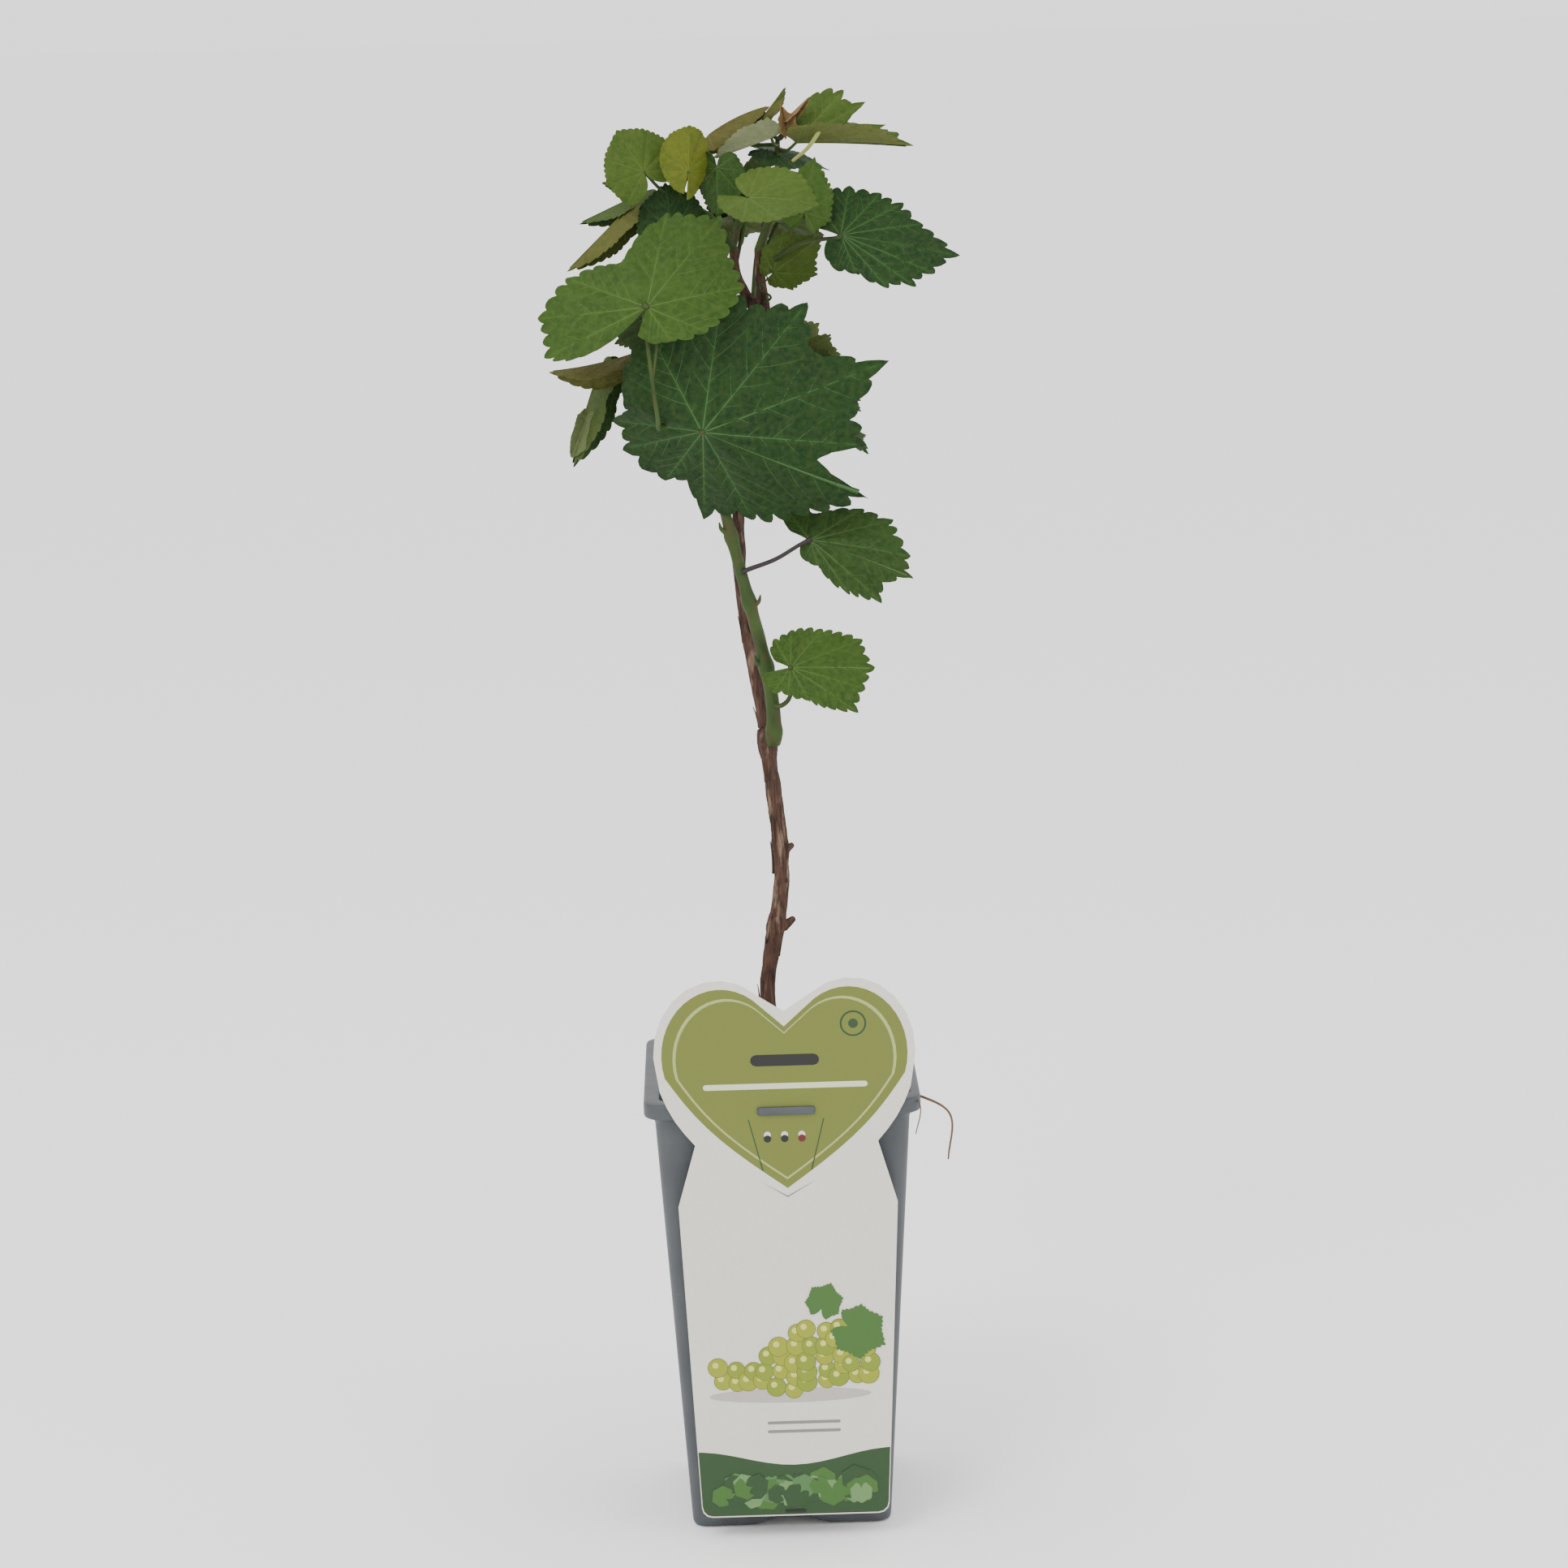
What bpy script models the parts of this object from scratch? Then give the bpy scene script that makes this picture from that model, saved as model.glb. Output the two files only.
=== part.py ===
"""Young grapevine in a deep square nursery pot with a hanging plant label.

Metres, +Z up.  The origin is the middle of the pot's flat underside and the label hangs on the
pot's front, which faces -Y.  Stems are tapering limbs, single large leaves are thin bent blades,
and close groups of leaves are uneven masses.
"""
from math import cos, exp, pi, radians, sin

import bmesh
import bpy
from mathutils import Matrix, Vector

MM = 0.001
GAP = 0.3 * MM                # clearance between pieces that touch

# pot
POT_HEIGHT = 173 * MM
RIM_WIDTH = 105 * MM          # outside of the lip
RIM_HEIGHT = 6 * MM
WALL_TOP_WIDTH = 97 * MM      # outside of the wall, just under the lip
BASE_WIDTH = 77 * MM
POT_WALL = 2.2 * MM
POT_FLOOR = 4.5 * MM
CORNER_RADIUS = 6 * MM
FOOT_ARCH = (24 * MM, 16 * MM, 3.5 * MM, 12 * MM)      # width low, width high, height, depth
ARCH_OVERCUT = (1.2 * MM, 0.5 * MM, 3 * MM)            # wider, lower and further out, where its cut starts
LUG = (22 * MM, 3.2 * MM, 3.2 * MM)                    # width, height, reach of the label's lug
LUG_X = 1.3 * MM
LUG_Z = 170.4 * MM

# potting soil
SOIL_TOP = 160 * MM

# label card
LABEL_X = 1.2 * MM
LABEL_BACK_Y = -53.2 * MM
LABEL_THICKNESS = 0.9 * MM
LABEL_FOOT = 9.5 * MM
LABEL_FOOT_HALF = 36 * MM
LABEL_FOOT_RADIUS = 4 * MM
LABEL_SHOULDER = (41.5 * MM, 133.5 * MM)
LABEL_NECK = (34.5 * MM, 157.5 * MM)
LABEL_HEART = (49.3 * MM, 193 * MM)
LABEL_LOBE = (25 * MM, 221 * MM)
LABEL_NOTCH = 208.6 * MM
LOBE_ARC = (-18, 127)         # degrees round each lobe, from the heart's side to its notch
SIDE_BULGE = 1.5 * MM         # how far the heart's lower sides bulge

# woody stem
STEM_FOOT = SOIL_TOP + GAP
STEM_RADIUS = 2.9 * MM
STEM_FLARE = 1.7 * MM         # extra radius at the soil
STEM_FLARE_HEIGHT = 9 * MM
STEM_KNOTS = ((70 * MM, 4 * MM, 0.8 * MM), (99 * MM, 3 * MM, 0.6 * MM), (141 * MM, 5 * MM, 1.1 * MM))

# Each limb in mm: its two ends, then its bows as (share of the way, offset from the straight line).
STEM_LIMBS = {
    "woody_stem": ((0, 0, 163.3), (-1.5, 1, 301), (0.3, (-3.5, 0, 0)), (0.62, (3.5, 0, 0))),
    "upper_cane": ((-2, 3, 306), (-1.5, 1.5, 462), (0.45, (-9, 2, 0))),
    "green_shoot": ((1, -3.5, 304), (-20, 3, 438), (0.2, (2, -2, 0)), (0.7, (-3, -3, 0))),
    "left_top_stem": ((-3, 3, 468), (-9.5, 5, 489), (0.5, (-2, 0, 0))),
    "right_top_stem": ((1.5, -1, 466), (0, -2, 489), (0.5, (-0.5, -0.5, 0))),
}
LIMB_TAPERS = {               # mm: radius at the foot, radius at the end, length
    "upper_cane": (2.4, 1.9, 150),
    "green_shoot": (2.9, 1.7, 140),
    "left_top_stem": (2.1, 1.6, 24),
    "right_top_stem": (2.2, 1.8, 24),
}
STALK_TAPER = (0.9 * MM, 0.8 * MM, 30 * MM)
STALKS = {
    "centre_leaf_stalk": ((-20.5, -1, 433), (-24, -31, 428), (0.5, (-3, 0, 7))),
    "upper_left_leaf_stalk": ((-20, 2.5, 441.5), (-43, -43, 470), (0.5, (-5.5, -13, -28)),
                              (0.7, (-3.5, -12.5, -27.5))),
    "right_leaf_stalk": ((3.5, -3, 484), (28.5, -24.5, 494.5), (0.5, (0, -2, 3))),
    "middle_right_leaf_stalk": ((-6, -8, 370), (12, -6.5, 378), (0.5, (0, 0, -1))),
    "low_right_leaf_stalk": ((3.5, -9, 317), (8.5, -16, 328), (0.5, (1, 0, -2))),
    "left_leaf_stalk": ((-23.5, 2, 443), (-44, -22, 453), (0.5, (0, 2, 3))),
}

# Single leaves in mm.  Lobes are degrees from the midrib, reach in midrib lengths and the depth of
# the cleft before each; "other" values belong to the half on the right of the midrib, seen from
# the face with the tip up; the sinus is where a half ends beside the petiole.
BLADE_THICKNESS = 1.2 * MM
BLADE_RINGS = (0.4, 0.75, 1)
LEAVES = {
    "centre_leaf": dict(
        foot=(-23, -36, 425), tip=(0.88, 0.10, -0.40), face=(-0.05, -0.97, -0.05), size=66,
        fold=-12, other_fold=-40, sinus=(158, 0.4), other_sinus=(144, 0.3),
        lobes=((17, 0.92, 0.3), (42, 1.1, 0.14), (72, 0.92, 0.24), (104, 0.8, 0.12), (140, 0.62, 0.12)),
        other_lobes=((45, 0.72, 0.04), (68, 0.74, 0.06), (95, 0.52, 0.14), (130, 0.5, 0.03))),
    "upper_left_leaf": dict(
        foot=(-42, -44, 472.5), tip=(0.62, 0.30, 0.72), face=(-0.05, -0.90, 0.35), size=44,
        fold=-8, bend=-10, sinus=(172, 0.3), other_sinus=(150, 0.26),
        lobes=((27, 0.88, 0.04), (105, 0.72, 0.42), (138, 0.92, 0.02), (160, 0.96, 0.04)),
        other_lobes=((38, 0.83, 0.1), (75, 0.52, 0.02), (107, 0.34, 0))),
    "right_leaf": dict(
        foot=(30, -24, 495.5), tip=(0.97, -0.10, -0.15), face=(0.15, -0.80, 0.55), size=43,
        fold=-6, other_fold=-20, bend=-8, sinus=(150, 0.3), other_sinus=(120, 0.15),
        lobes=((22, 0.7, 0.03), (42, 0.62, 0.04), (62, 0.56, 0.04), (90, 0.52, 0.04), (125, 0.44, 0.05)),
        other_lobes=((13, 0.85, 0.03), (26, 0.76, 0.05), (40, 0.6, 0.06), (60, 0.34, 0.02))),
    "middle_right_leaf": dict(
        foot=(16.4, -6, 380), tip=(0.88, -0.35, -0.26), face=(-0.10, -0.80, 0.58), size=41,
        fold=-5, other_fold=-40, bend=-12, sinus=(162, 0.2), other_sinus=(120, 0.12),
        lobes=((13, 0.92, 0.03), (37, 0.76, 0.05), (57, 0.56, 0.04), (140, 0.4, 0.42)),
        other_lobes=((22, 0.88, 0.14), (36, 0.6, 0.04), (58, 0.24, 0))),
    "low_right_leaf": dict(
        foot=(8.6, -20, 333.7), tip=(0.97, -0.25, 0.03), face=(-0.10, -0.85, 0.50), size=31,
        fold=-8, other_fold=-15, bend=-12, sinus=(150, 0.2), other_sinus=(150, 0.3),
        lobes=((25, 0.92, 0.04), (57, 0.6, 0.03), (95, 0.5, 0.02), (122, 0.4, 0.02)),
        other_lobes=((15, 0.94, 0.02), (32, 0.98, 0.04), (60, 0.46, 0.05), (95, 0.32, 0.02),
                     (125, 0.3, 0.02))),
    "left_rolled_leaf": dict(
        foot=(-48, -30, 454), tip=(-0.95, -0.10, -0.28), face=(0.05, -0.45, 0.90), size=32, fold=-62,
        sinus=(160, 0.16), lobes=((48, 0.5, 0.1), (96, 0.4, 0.1), (140, 0.3, 0.1))),
    "left_hanging_leaf": dict(
        foot=(-66, -2, 440), tip=(-0.35, 0.10, -0.95), face=(-0.75, -0.50, 0.30), size=33, fold=-58,
        sinus=(160, 0.16), lobes=((48, 0.5, 0.1), (96, 0.4, 0.1), (140, 0.3, 0.1))),
}

# Close groups of leaves in mm: middle, half sizes, and how the ball is varied.
MASS_BUMP = 0.11
MASSES = {
    "top_left_leaves": ((-38, -6, 512), (15, 13, 22), dict(colour="bright", wave=1)),
    "far_left_leaves": ((-64, 0, 494), (5, 10, 16), dict(colour="olive", wave=2, tilt=35, detail=2)),
    "top_middle_leaves": ((-2, -10, 508), (15, 17, 13), dict(colour="bright", wave=3)),
    "young_tip_leaves": ((8, 4, 536), (14, 9, 11), dict(colour="olive", wave=4, detail=2)),
    "top_right_leaves": ((43, 2, 530), (17, 10, 12), dict(colour="bright", wave=5, detail=2)),
    "back_left_leaves": ((-33, 28, 450), (19, 16, 27), dict(colour="dark", wave=6)),
    "back_right_leaves": ((18, 28, 436), (17, 16, 25), dict(colour="dark", wave=7)),
    "back_top_leaves": ((0, 34, 505), (28, 14, 16), dict(colour="bright", wave=8)),
}


def clear_scene():
    for item in list(bpy.data.objects):
        bpy.data.objects.remove(item)


def new_collection(name):
    group = bpy.data.collections.new(name)
    bpy.context.scene.collection.children.link(group)
    return group


def material(name, colour, roughness):
    mat = bpy.data.materials.new(name)
    mat.use_nodes = True
    shader = mat.node_tree.nodes["Principled BSDF"]
    shader.inputs["Base Color"].default_value = (*colour, 1)
    shader.inputs["Roughness"].default_value = roughness
    return mat


def add_object(name, mesh, group, mat=None):
    item = bpy.data.objects.new(name, mesh)
    if mat:
        item.data.materials.append(mat)
    group.objects.link(item)
    return item


def mesh_from(bm, name):
    bmesh.ops.recalc_face_normals(bm, faces=bm.faces)
    mesh = bpy.data.meshes.new(name)
    bm.to_mesh(mesh)
    bm.free()
    return mesh


def boolean(item, cutter, operation):
    modifier = item.modifiers.new(operation.title(), "BOOLEAN")
    modifier.object = cutter
    modifier.operation = operation
    modifier.solver = "EXACT"
    cutter.hide_render = True
    cutter.display_type = "WIRE"


def tapered_block(name, low, high, z_low, z_high, radius):
    """A square block that widens upward, with rounded upright edges."""
    bm = bmesh.new()
    bmesh.ops.create_cube(bm, size=1)
    for vert in bm.verts:
        width, z = (high, z_high) if vert.co.z > 0 else (low, z_low)
        vert.co = Vector((vert.co.x * width, vert.co.y * width, z))
    upright = [e for e in bm.edges if abs(e.verts[0].co.z - e.verts[1].co.z) > 0.5 * (z_high - z_low)]
    bmesh.ops.bevel(bm, geom=upright, offset=radius, segments=3, profile=0.5, affect="EDGES")
    return mesh_from(bm, name)


def box(name, low, high):
    bm = bmesh.new()
    bmesh.ops.create_cube(bm, size=1)
    low, high = Vector(low), Vector(high)
    for vert in bm.verts:
        vert.co = (low + high) / 2 + Vector(a * b for a, b in zip(vert.co, high - low))
    return mesh_from(bm, name)


def wall_width(z):
    """Outside width of the pot's wall at height z."""
    return BASE_WIDTH + (WALL_TOP_WIDTH - BASE_WIDTH) * z / (POT_HEIGHT - RIM_HEIGHT)


def make_pot(parts, cutters, mat):
    wall_top = POT_HEIGHT - RIM_HEIGHT
    pot = add_object("pot", tapered_block("pot", BASE_WIDTH, WALL_TOP_WIDTH, 0, wall_top + MM,
                                          CORNER_RADIUS), parts, mat)
    lip = tapered_block("lip", RIM_WIDTH, RIM_WIDTH, wall_top, POT_HEIGHT, CORNER_RADIUS + 2 * MM)
    boolean(pot, add_object("lip", lip, cutters), "UNION")
    lug_front = -RIM_WIDTH / 2 - LUG[2]
    lug = box("lug", (LUG_X - LUG[0] / 2, lug_front, LUG_Z - LUG[1] / 2),
              (LUG_X + LUG[0] / 2, -RIM_WIDTH / 2 + MM, LUG_Z + LUG[1] / 2))
    boolean(pot, add_object("lug", lug, cutters), "UNION")
    cavity = tapered_block("cavity", wall_width(POT_FLOOR) - 2 * POT_WALL,
                           wall_width(POT_HEIGHT + MM) - 2 * POT_WALL, POT_FLOOR,
                           POT_HEIGHT + MM, CORNER_RADIUS - POT_WALL / 2)
    boolean(pot, add_object("cavity", cavity, cutters), "DIFFERENCE")
    for side in range(4):
        arch = add_object(f"foot_arch_{side + 1}", arch_mesh(), cutters)
        arch.rotation_euler.z = side * pi / 2
        boolean(pot, arch, "DIFFERENCE")


def arch_mesh():
    """The shallow opening between two feet, narrower at its top, at the front of the base."""
    low, high, height, depth = FOOT_ARCH
    wider, lower, outward = ARCH_OVERCUT
    bm = bmesh.new()
    bmesh.ops.create_cube(bm, size=1)
    for vert in bm.verts:
        width, z = (high, height) if vert.co.z > 0 else (low + wider, -lower)
        y = -BASE_WIDTH / 2 + (depth if vert.co.y > 0 else -outward)
        vert.co = Vector((vert.co.x * width, y, z))
    return mesh_from(bm, "foot_arch")


def make_soil(parts, mat):
    inset = 2 * (POT_WALL + GAP)
    z_low = POT_FLOOR + GAP
    soil = tapered_block("soil", wall_width(z_low) - inset, wall_width(SOIL_TOP) - inset, z_low,
                         SOIL_TOP, CORNER_RADIUS - POT_WALL / 2)
    add_object("potting_soil", soil, parts, mat)


def heart_side(steps=9):
    """Points up one side of the heart, from the neck round the lobe to the notch."""
    neck, side = Vector(LABEL_NECK), Vector(LABEL_HEART)
    lobe, notch = Vector(LABEL_LOBE), Vector((0, LABEL_NOTCH))
    points = []
    for i in range(5):
        t = i / 5
        bulge = sin(pi * t) * SIDE_BULGE
        points.append(neck.lerp(Vector((side.x, side.y - 8 * MM)), t) + Vector((bulge, -bulge)))
    for i in range(steps + 1):
        turn = radians(LOBE_ARC[0] + (LOBE_ARC[1] - LOBE_ARC[0]) * i / steps)
        points.append(Vector((lobe.x + (side.x - lobe.x) * cos(turn),
                              side.y + (lobe.y - side.y) * sin(turn))))
    return points + [notch]


def label_outline():
    right = []
    for i in range(4):
        turn = -pi / 2 + pi / 2 * i / 3
        right.append(Vector((LABEL_FOOT_HALF + LABEL_FOOT_RADIUS * (cos(turn) - 1),
                             LABEL_FOOT + LABEL_FOOT_RADIUS * (1 + sin(turn)))))
    right.append(Vector(LABEL_SHOULDER))
    right += heart_side()
    return right + [Vector((-p.x, p.y)) for p in reversed(right[:-1])]


def make_label(parts, cutters, mat):
    curve = bpy.data.curves.new("label", "CURVE")
    curve.dimensions = "2D"
    curve.fill_mode = "BOTH"
    curve.extrude = LABEL_THICKNESS / 2
    outline = label_outline()
    spline = curve.splines.new("POLY")
    spline.points.add(len(outline) - 1)
    for point, place in zip(spline.points, outline):
        point.co = (place.x, place.y, 0, 1)
    spline.use_cyclic_u = True
    card = add_object("card_curve", curve, parts)
    card.rotation_euler.x = pi / 2
    card.location = (LABEL_X, LABEL_BACK_Y - LABEL_THICKNESS / 2, 0)
    label = curve_to_mesh(card, "label", parts, mat)
    half_wide, half_high = LUG[0] / 2 + 2 * GAP, LUG[1] / 2 + GAP
    slot = box("label_slot", (LUG_X - half_wide, LABEL_BACK_Y - 5 * MM, LUG_Z - half_high),
               (LUG_X + half_wide, LABEL_BACK_Y + 5 * MM, LUG_Z + half_high))
    boolean(label, add_object("label_slot", slot, cutters), "DIFFERENCE")


def curve_to_mesh(item, name, group, mat):
    """Swap a curve object for a mesh of it whose caps are joined on."""
    bpy.context.view_layer.update()
    evaluated = item.evaluated_get(bpy.context.evaluated_depsgraph_get())
    bm = bmesh.new()
    bm.from_mesh(bpy.data.meshes.new_from_object(evaluated))
    bmesh.ops.remove_doubles(bm, verts=bm.verts, dist=0.01 * MM)
    bmesh.ops.transform(bm, matrix=item.matrix_world, verts=bm.verts)
    bpy.data.objects.remove(item)
    return add_object(name, mesh_from(bm, name), group, mat)


def smooth_route(points, spacing):
    """Points read along a Catmull-Rom curve through the given ones, with their share of the way."""
    ends = [2 * points[0] - points[1]] + points + [2 * points[-1] - points[-2]]
    route = []
    for a, b, c, d in zip(ends, ends[1:], ends[2:], ends[3:]):
        count = max(1, round((c - b).length / spacing))
        for i in range(count):
            t = i / count
            route.append(0.5 * (2 * b + (c - a) * t + (2 * a - 5 * b + 4 * c - d) * t * t
                                + (3 * b - a - 3 * c + d) * t ** 3))
    return route + [points[-1]]


def bowed(start, end, *bows):
    """Points from a limb's start through its bows to its end."""
    start, end = Vector(start) * MM, Vector(end) * MM
    return [start] + [start.lerp(end, share) + Vector(offset) * MM for share, offset in bows] + [end]


def limb(name, points, radius_at, group, mat, spacing=9 * MM):
    """A tapering round limb through the points; radius_at takes the length run so far."""
    route = smooth_route(points, spacing)
    curve = bpy.data.curves.new(name, "CURVE")
    curve.dimensions = "3D"
    curve.bevel_depth = 1
    curve.bevel_resolution = 2
    curve.use_fill_caps = True
    spline = curve.splines.new("POLY")
    spline.points.add(len(route) - 1)
    run = 0
    for i, (point, place) in enumerate(zip(spline.points, route)):
        run += (place - route[max(i - 1, 0)]).length
        point.co = (*place, 1)
        point.radius = radius_at(run)
    return add_object(name, curve, group, mat)


def taper(low, high, length):
    return lambda run: low + (high - low) * min(run / length, 1)


def swell(base, places):
    """Add to a radius a swelling of (height along, half length, extra radius) at each joint."""
    return lambda run: base(run) + sum(extra * exp(-((run - at) / half) ** 2)
                                       for at, half, extra in places)


def make_stems(parts, bark, green):
    def trunk_radius(run):
        return STEM_RADIUS + STEM_FLARE * exp(-run / STEM_FLARE_HEIGHT)
    foot = [Vector((0, 0, STEM_FOOT))]
    limb("woody_stem", foot + bowed(*STEM_LIMBS["woody_stem"]), swell(trunk_radius, STEM_KNOTS), parts,
         bark)
    for name, sizes in LIMB_TAPERS.items():
        mat = green if name == "green_shoot" else bark
        limb(name, bowed(*STEM_LIMBS[name]), taper(*(size * MM for size in sizes)), parts, mat)


def blade_marks(lobes, sinus):
    """Corners of one half as degrees from the midrib and reach: lobe tips with clefts between."""
    marks = [(0, 1.0)]
    for angle, reach, depth in lobes:
        before = marks[-1]
        if depth:
            marks.append(((before[0] + angle) / 2, (before[1] + reach) / 2 * (1 - depth)))
        marks.append((angle, reach))
    return marks + [sinus]


def bend_strip(length, start, curl):
    """Where a strip of this length ends: it starts at one angle and curls evenly."""
    if abs(curl) < 1e-4:
        return length * cos(start), length * sin(start), start
    end = start + curl * length
    return (sin(end) - sin(start)) / curl, (cos(start) - cos(end)) / curl, end


def blade(name, group, mat):
    """A lobed leaf blade from its petiole's end: folded along the midrib and bent lengthwise."""
    leaf = LEAVES[name]
    tip = Vector(leaf["tip"]).normalized()
    face = Vector(leaf["face"])
    face = (face - face.dot(tip) * tip).normalized()
    side = face.cross(tip)
    right = blade_marks(leaf["lobes"], leaf["sinus"])
    left = blade_marks(leaf.get("other_lobes", leaf["lobes"]), leaf.get("other_sinus", leaf["sinus"]))
    corners = [(-angle, reach) for angle, reach in reversed(left)][:-1] + right
    folds = (radians(leaf["fold"]), radians(leaf.get("other_fold", leaf["fold"])))
    bm = bmesh.new()
    middle = bm.verts.new(Vector(leaf["foot"]) * MM)
    last = None
    for angle, whole in corners:
        spoke = []
        for ring in BLADE_RINGS:
            along, across = ring * whole * cos(radians(angle)), ring * whole * sin(radians(angle))
            out, up, _ = bend_strip(abs(across), folds[0 if across > 0 else 1], 0)
            forth, rise, turn = bend_strip(along, 0, radians(leaf.get("bend", 0)) if along > 0 else 0)
            place = ((forth - up * sin(turn)) * tip + out * (1 if across > 0 else -1) * side
                     + (rise + up * cos(turn)) * face)
            spoke.append(bm.verts.new((Vector(leaf["foot"]) + leaf["size"] * place) * MM))
        if last:
            bm.faces.new((middle, last[0], spoke[0]))
            for i in range(len(BLADE_RINGS) - 1):
                bm.faces.new((last[i], last[i + 1], spoke[i + 1], spoke[i]))
        last = spoke
    blade_object = add_object(name, mesh_from(bm, name), group, mat)
    shell = blade_object.modifiers.new("Thickness", "SOLIDIFY")
    shell.thickness = BLADE_THICKNESS
    shell.offset = 0


def mass(name, centre, half, group, mat, shape):
    """An uneven closed body of leaves: a ball stretched to its half sizes, with broad bumps."""
    wave, tilt = shape["wave"], Matrix.Rotation(radians(shape.get("tilt", 0)), 3, "Y")
    bm = bmesh.new()
    bmesh.ops.create_icosphere(bm, subdivisions=shape.get("detail", 3), radius=1)
    for vert in bm.verts:
        x, y, z = vert.co
        bump = (sin(4.1 * x + 1.7 * wave) * sin(3.3 * z + wave) + 0.7 * sin(5.2 * y + 2.3 * wave + 3 * x)
                + 0.5 * sin(7 * z - 2 * x + wave))
        vert.co *= 1 + MASS_BUMP * bump
        vert.co = (tilt @ Vector(a * b for a, b in zip(vert.co, half)) + Vector(centre)) * MM
    add_object(name, mesh_from(bm, name), group, mat)


def make_stalks(parts, green, bark):
    for name, way in STALKS.items():
        mat = bark if name == "middle_right_leaf_stalk" else green
        limb(name, bowed(*way), taper(*STALK_TAPER), parts, mat, spacing=5 * MM)


def make_leaves(parts, dark, bright, olive):
    for name, mat in (("centre_leaf", dark), ("upper_left_leaf", bright), ("right_leaf", dark),
                      ("middle_right_leaf", dark), ("low_right_leaf", bright),
                      ("left_rolled_leaf", olive), ("left_hanging_leaf", dark)):
        blade(name, parts, mat)
    for name, (centre, half, shape) in MASSES.items():
        mat = {"dark": dark, "bright": bright, "olive": olive}[shape["colour"]]
        mass(name, centre, half, parts, mat, shape)


def main():
    clear_scene()
    parts = new_collection("grapevine")
    cutters = new_collection("cutters")
    plastic = material("slate_plastic", (0.10, 0.115, 0.125), 0.45)
    earth = material("potting_soil", (0.045, 0.028, 0.018), 0.95)
    card = material("label_card", (0.68, 0.65, 0.60), 0.5)
    bark = material("vine_bark", (0.12, 0.065, 0.045), 0.9)
    green = material("green_shoot", (0.10, 0.16, 0.045), 0.6)
    dark = material("dark_leaf", (0.026, 0.08, 0.025), 0.6)
    bright = material("bright_leaf", (0.09, 0.17, 0.03), 0.6)
    olive = material("olive_leaf", (0.15, 0.15, 0.06), 0.6)
    make_pot(parts, cutters, plastic)
    make_soil(parts, earth)
    make_label(parts, cutters, card)
    make_stems(parts, bark, green)
    make_stalks(parts, green, bark)
    make_leaves(parts, dark, bright, olive)


main()
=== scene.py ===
"""Looks of a young grapevine in a deep square nursery pot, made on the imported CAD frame.

Plan sizes are in millimetres and become metres where meshes are made.  The front faces -Y.
"""
import math
import random

import bmesh
import bpy
import numpy as np
from mathutils import Matrix, Vector, noise


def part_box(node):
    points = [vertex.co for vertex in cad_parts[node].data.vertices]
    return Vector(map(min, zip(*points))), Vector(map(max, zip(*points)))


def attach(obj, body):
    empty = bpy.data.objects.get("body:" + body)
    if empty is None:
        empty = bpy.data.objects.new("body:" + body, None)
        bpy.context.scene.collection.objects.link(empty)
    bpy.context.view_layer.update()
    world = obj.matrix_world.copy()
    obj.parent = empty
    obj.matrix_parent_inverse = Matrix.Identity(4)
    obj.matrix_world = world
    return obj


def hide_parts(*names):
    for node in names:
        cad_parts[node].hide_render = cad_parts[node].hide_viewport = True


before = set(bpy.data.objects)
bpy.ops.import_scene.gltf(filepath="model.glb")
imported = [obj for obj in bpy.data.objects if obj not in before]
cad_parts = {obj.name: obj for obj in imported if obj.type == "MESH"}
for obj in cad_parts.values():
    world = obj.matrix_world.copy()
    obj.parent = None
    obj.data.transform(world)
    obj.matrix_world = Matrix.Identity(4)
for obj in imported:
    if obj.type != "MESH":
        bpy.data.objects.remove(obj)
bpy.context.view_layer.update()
MM = 0.001


# ---- colours and materials
def srgb(red, green, blue):
    """A colour given as 0-255 screen values, as linear RGBA."""
    values = [v / 255 for v in (red, green, blue)]
    return (*[v / 12.92 if v <= 0.04045 else ((v + 0.055) / 1.055) ** 2.4 for v in values], 1)


def mixed(a, b, share):
    return tuple(x + (y - x) * share for x, y in zip(a, b))


def heading_to(angle):
    """A flat step of length one at an angle."""
    return np.array([math.cos(angle), math.sin(angle)])


NOISE_ROUGHNESS = 0.55


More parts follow.
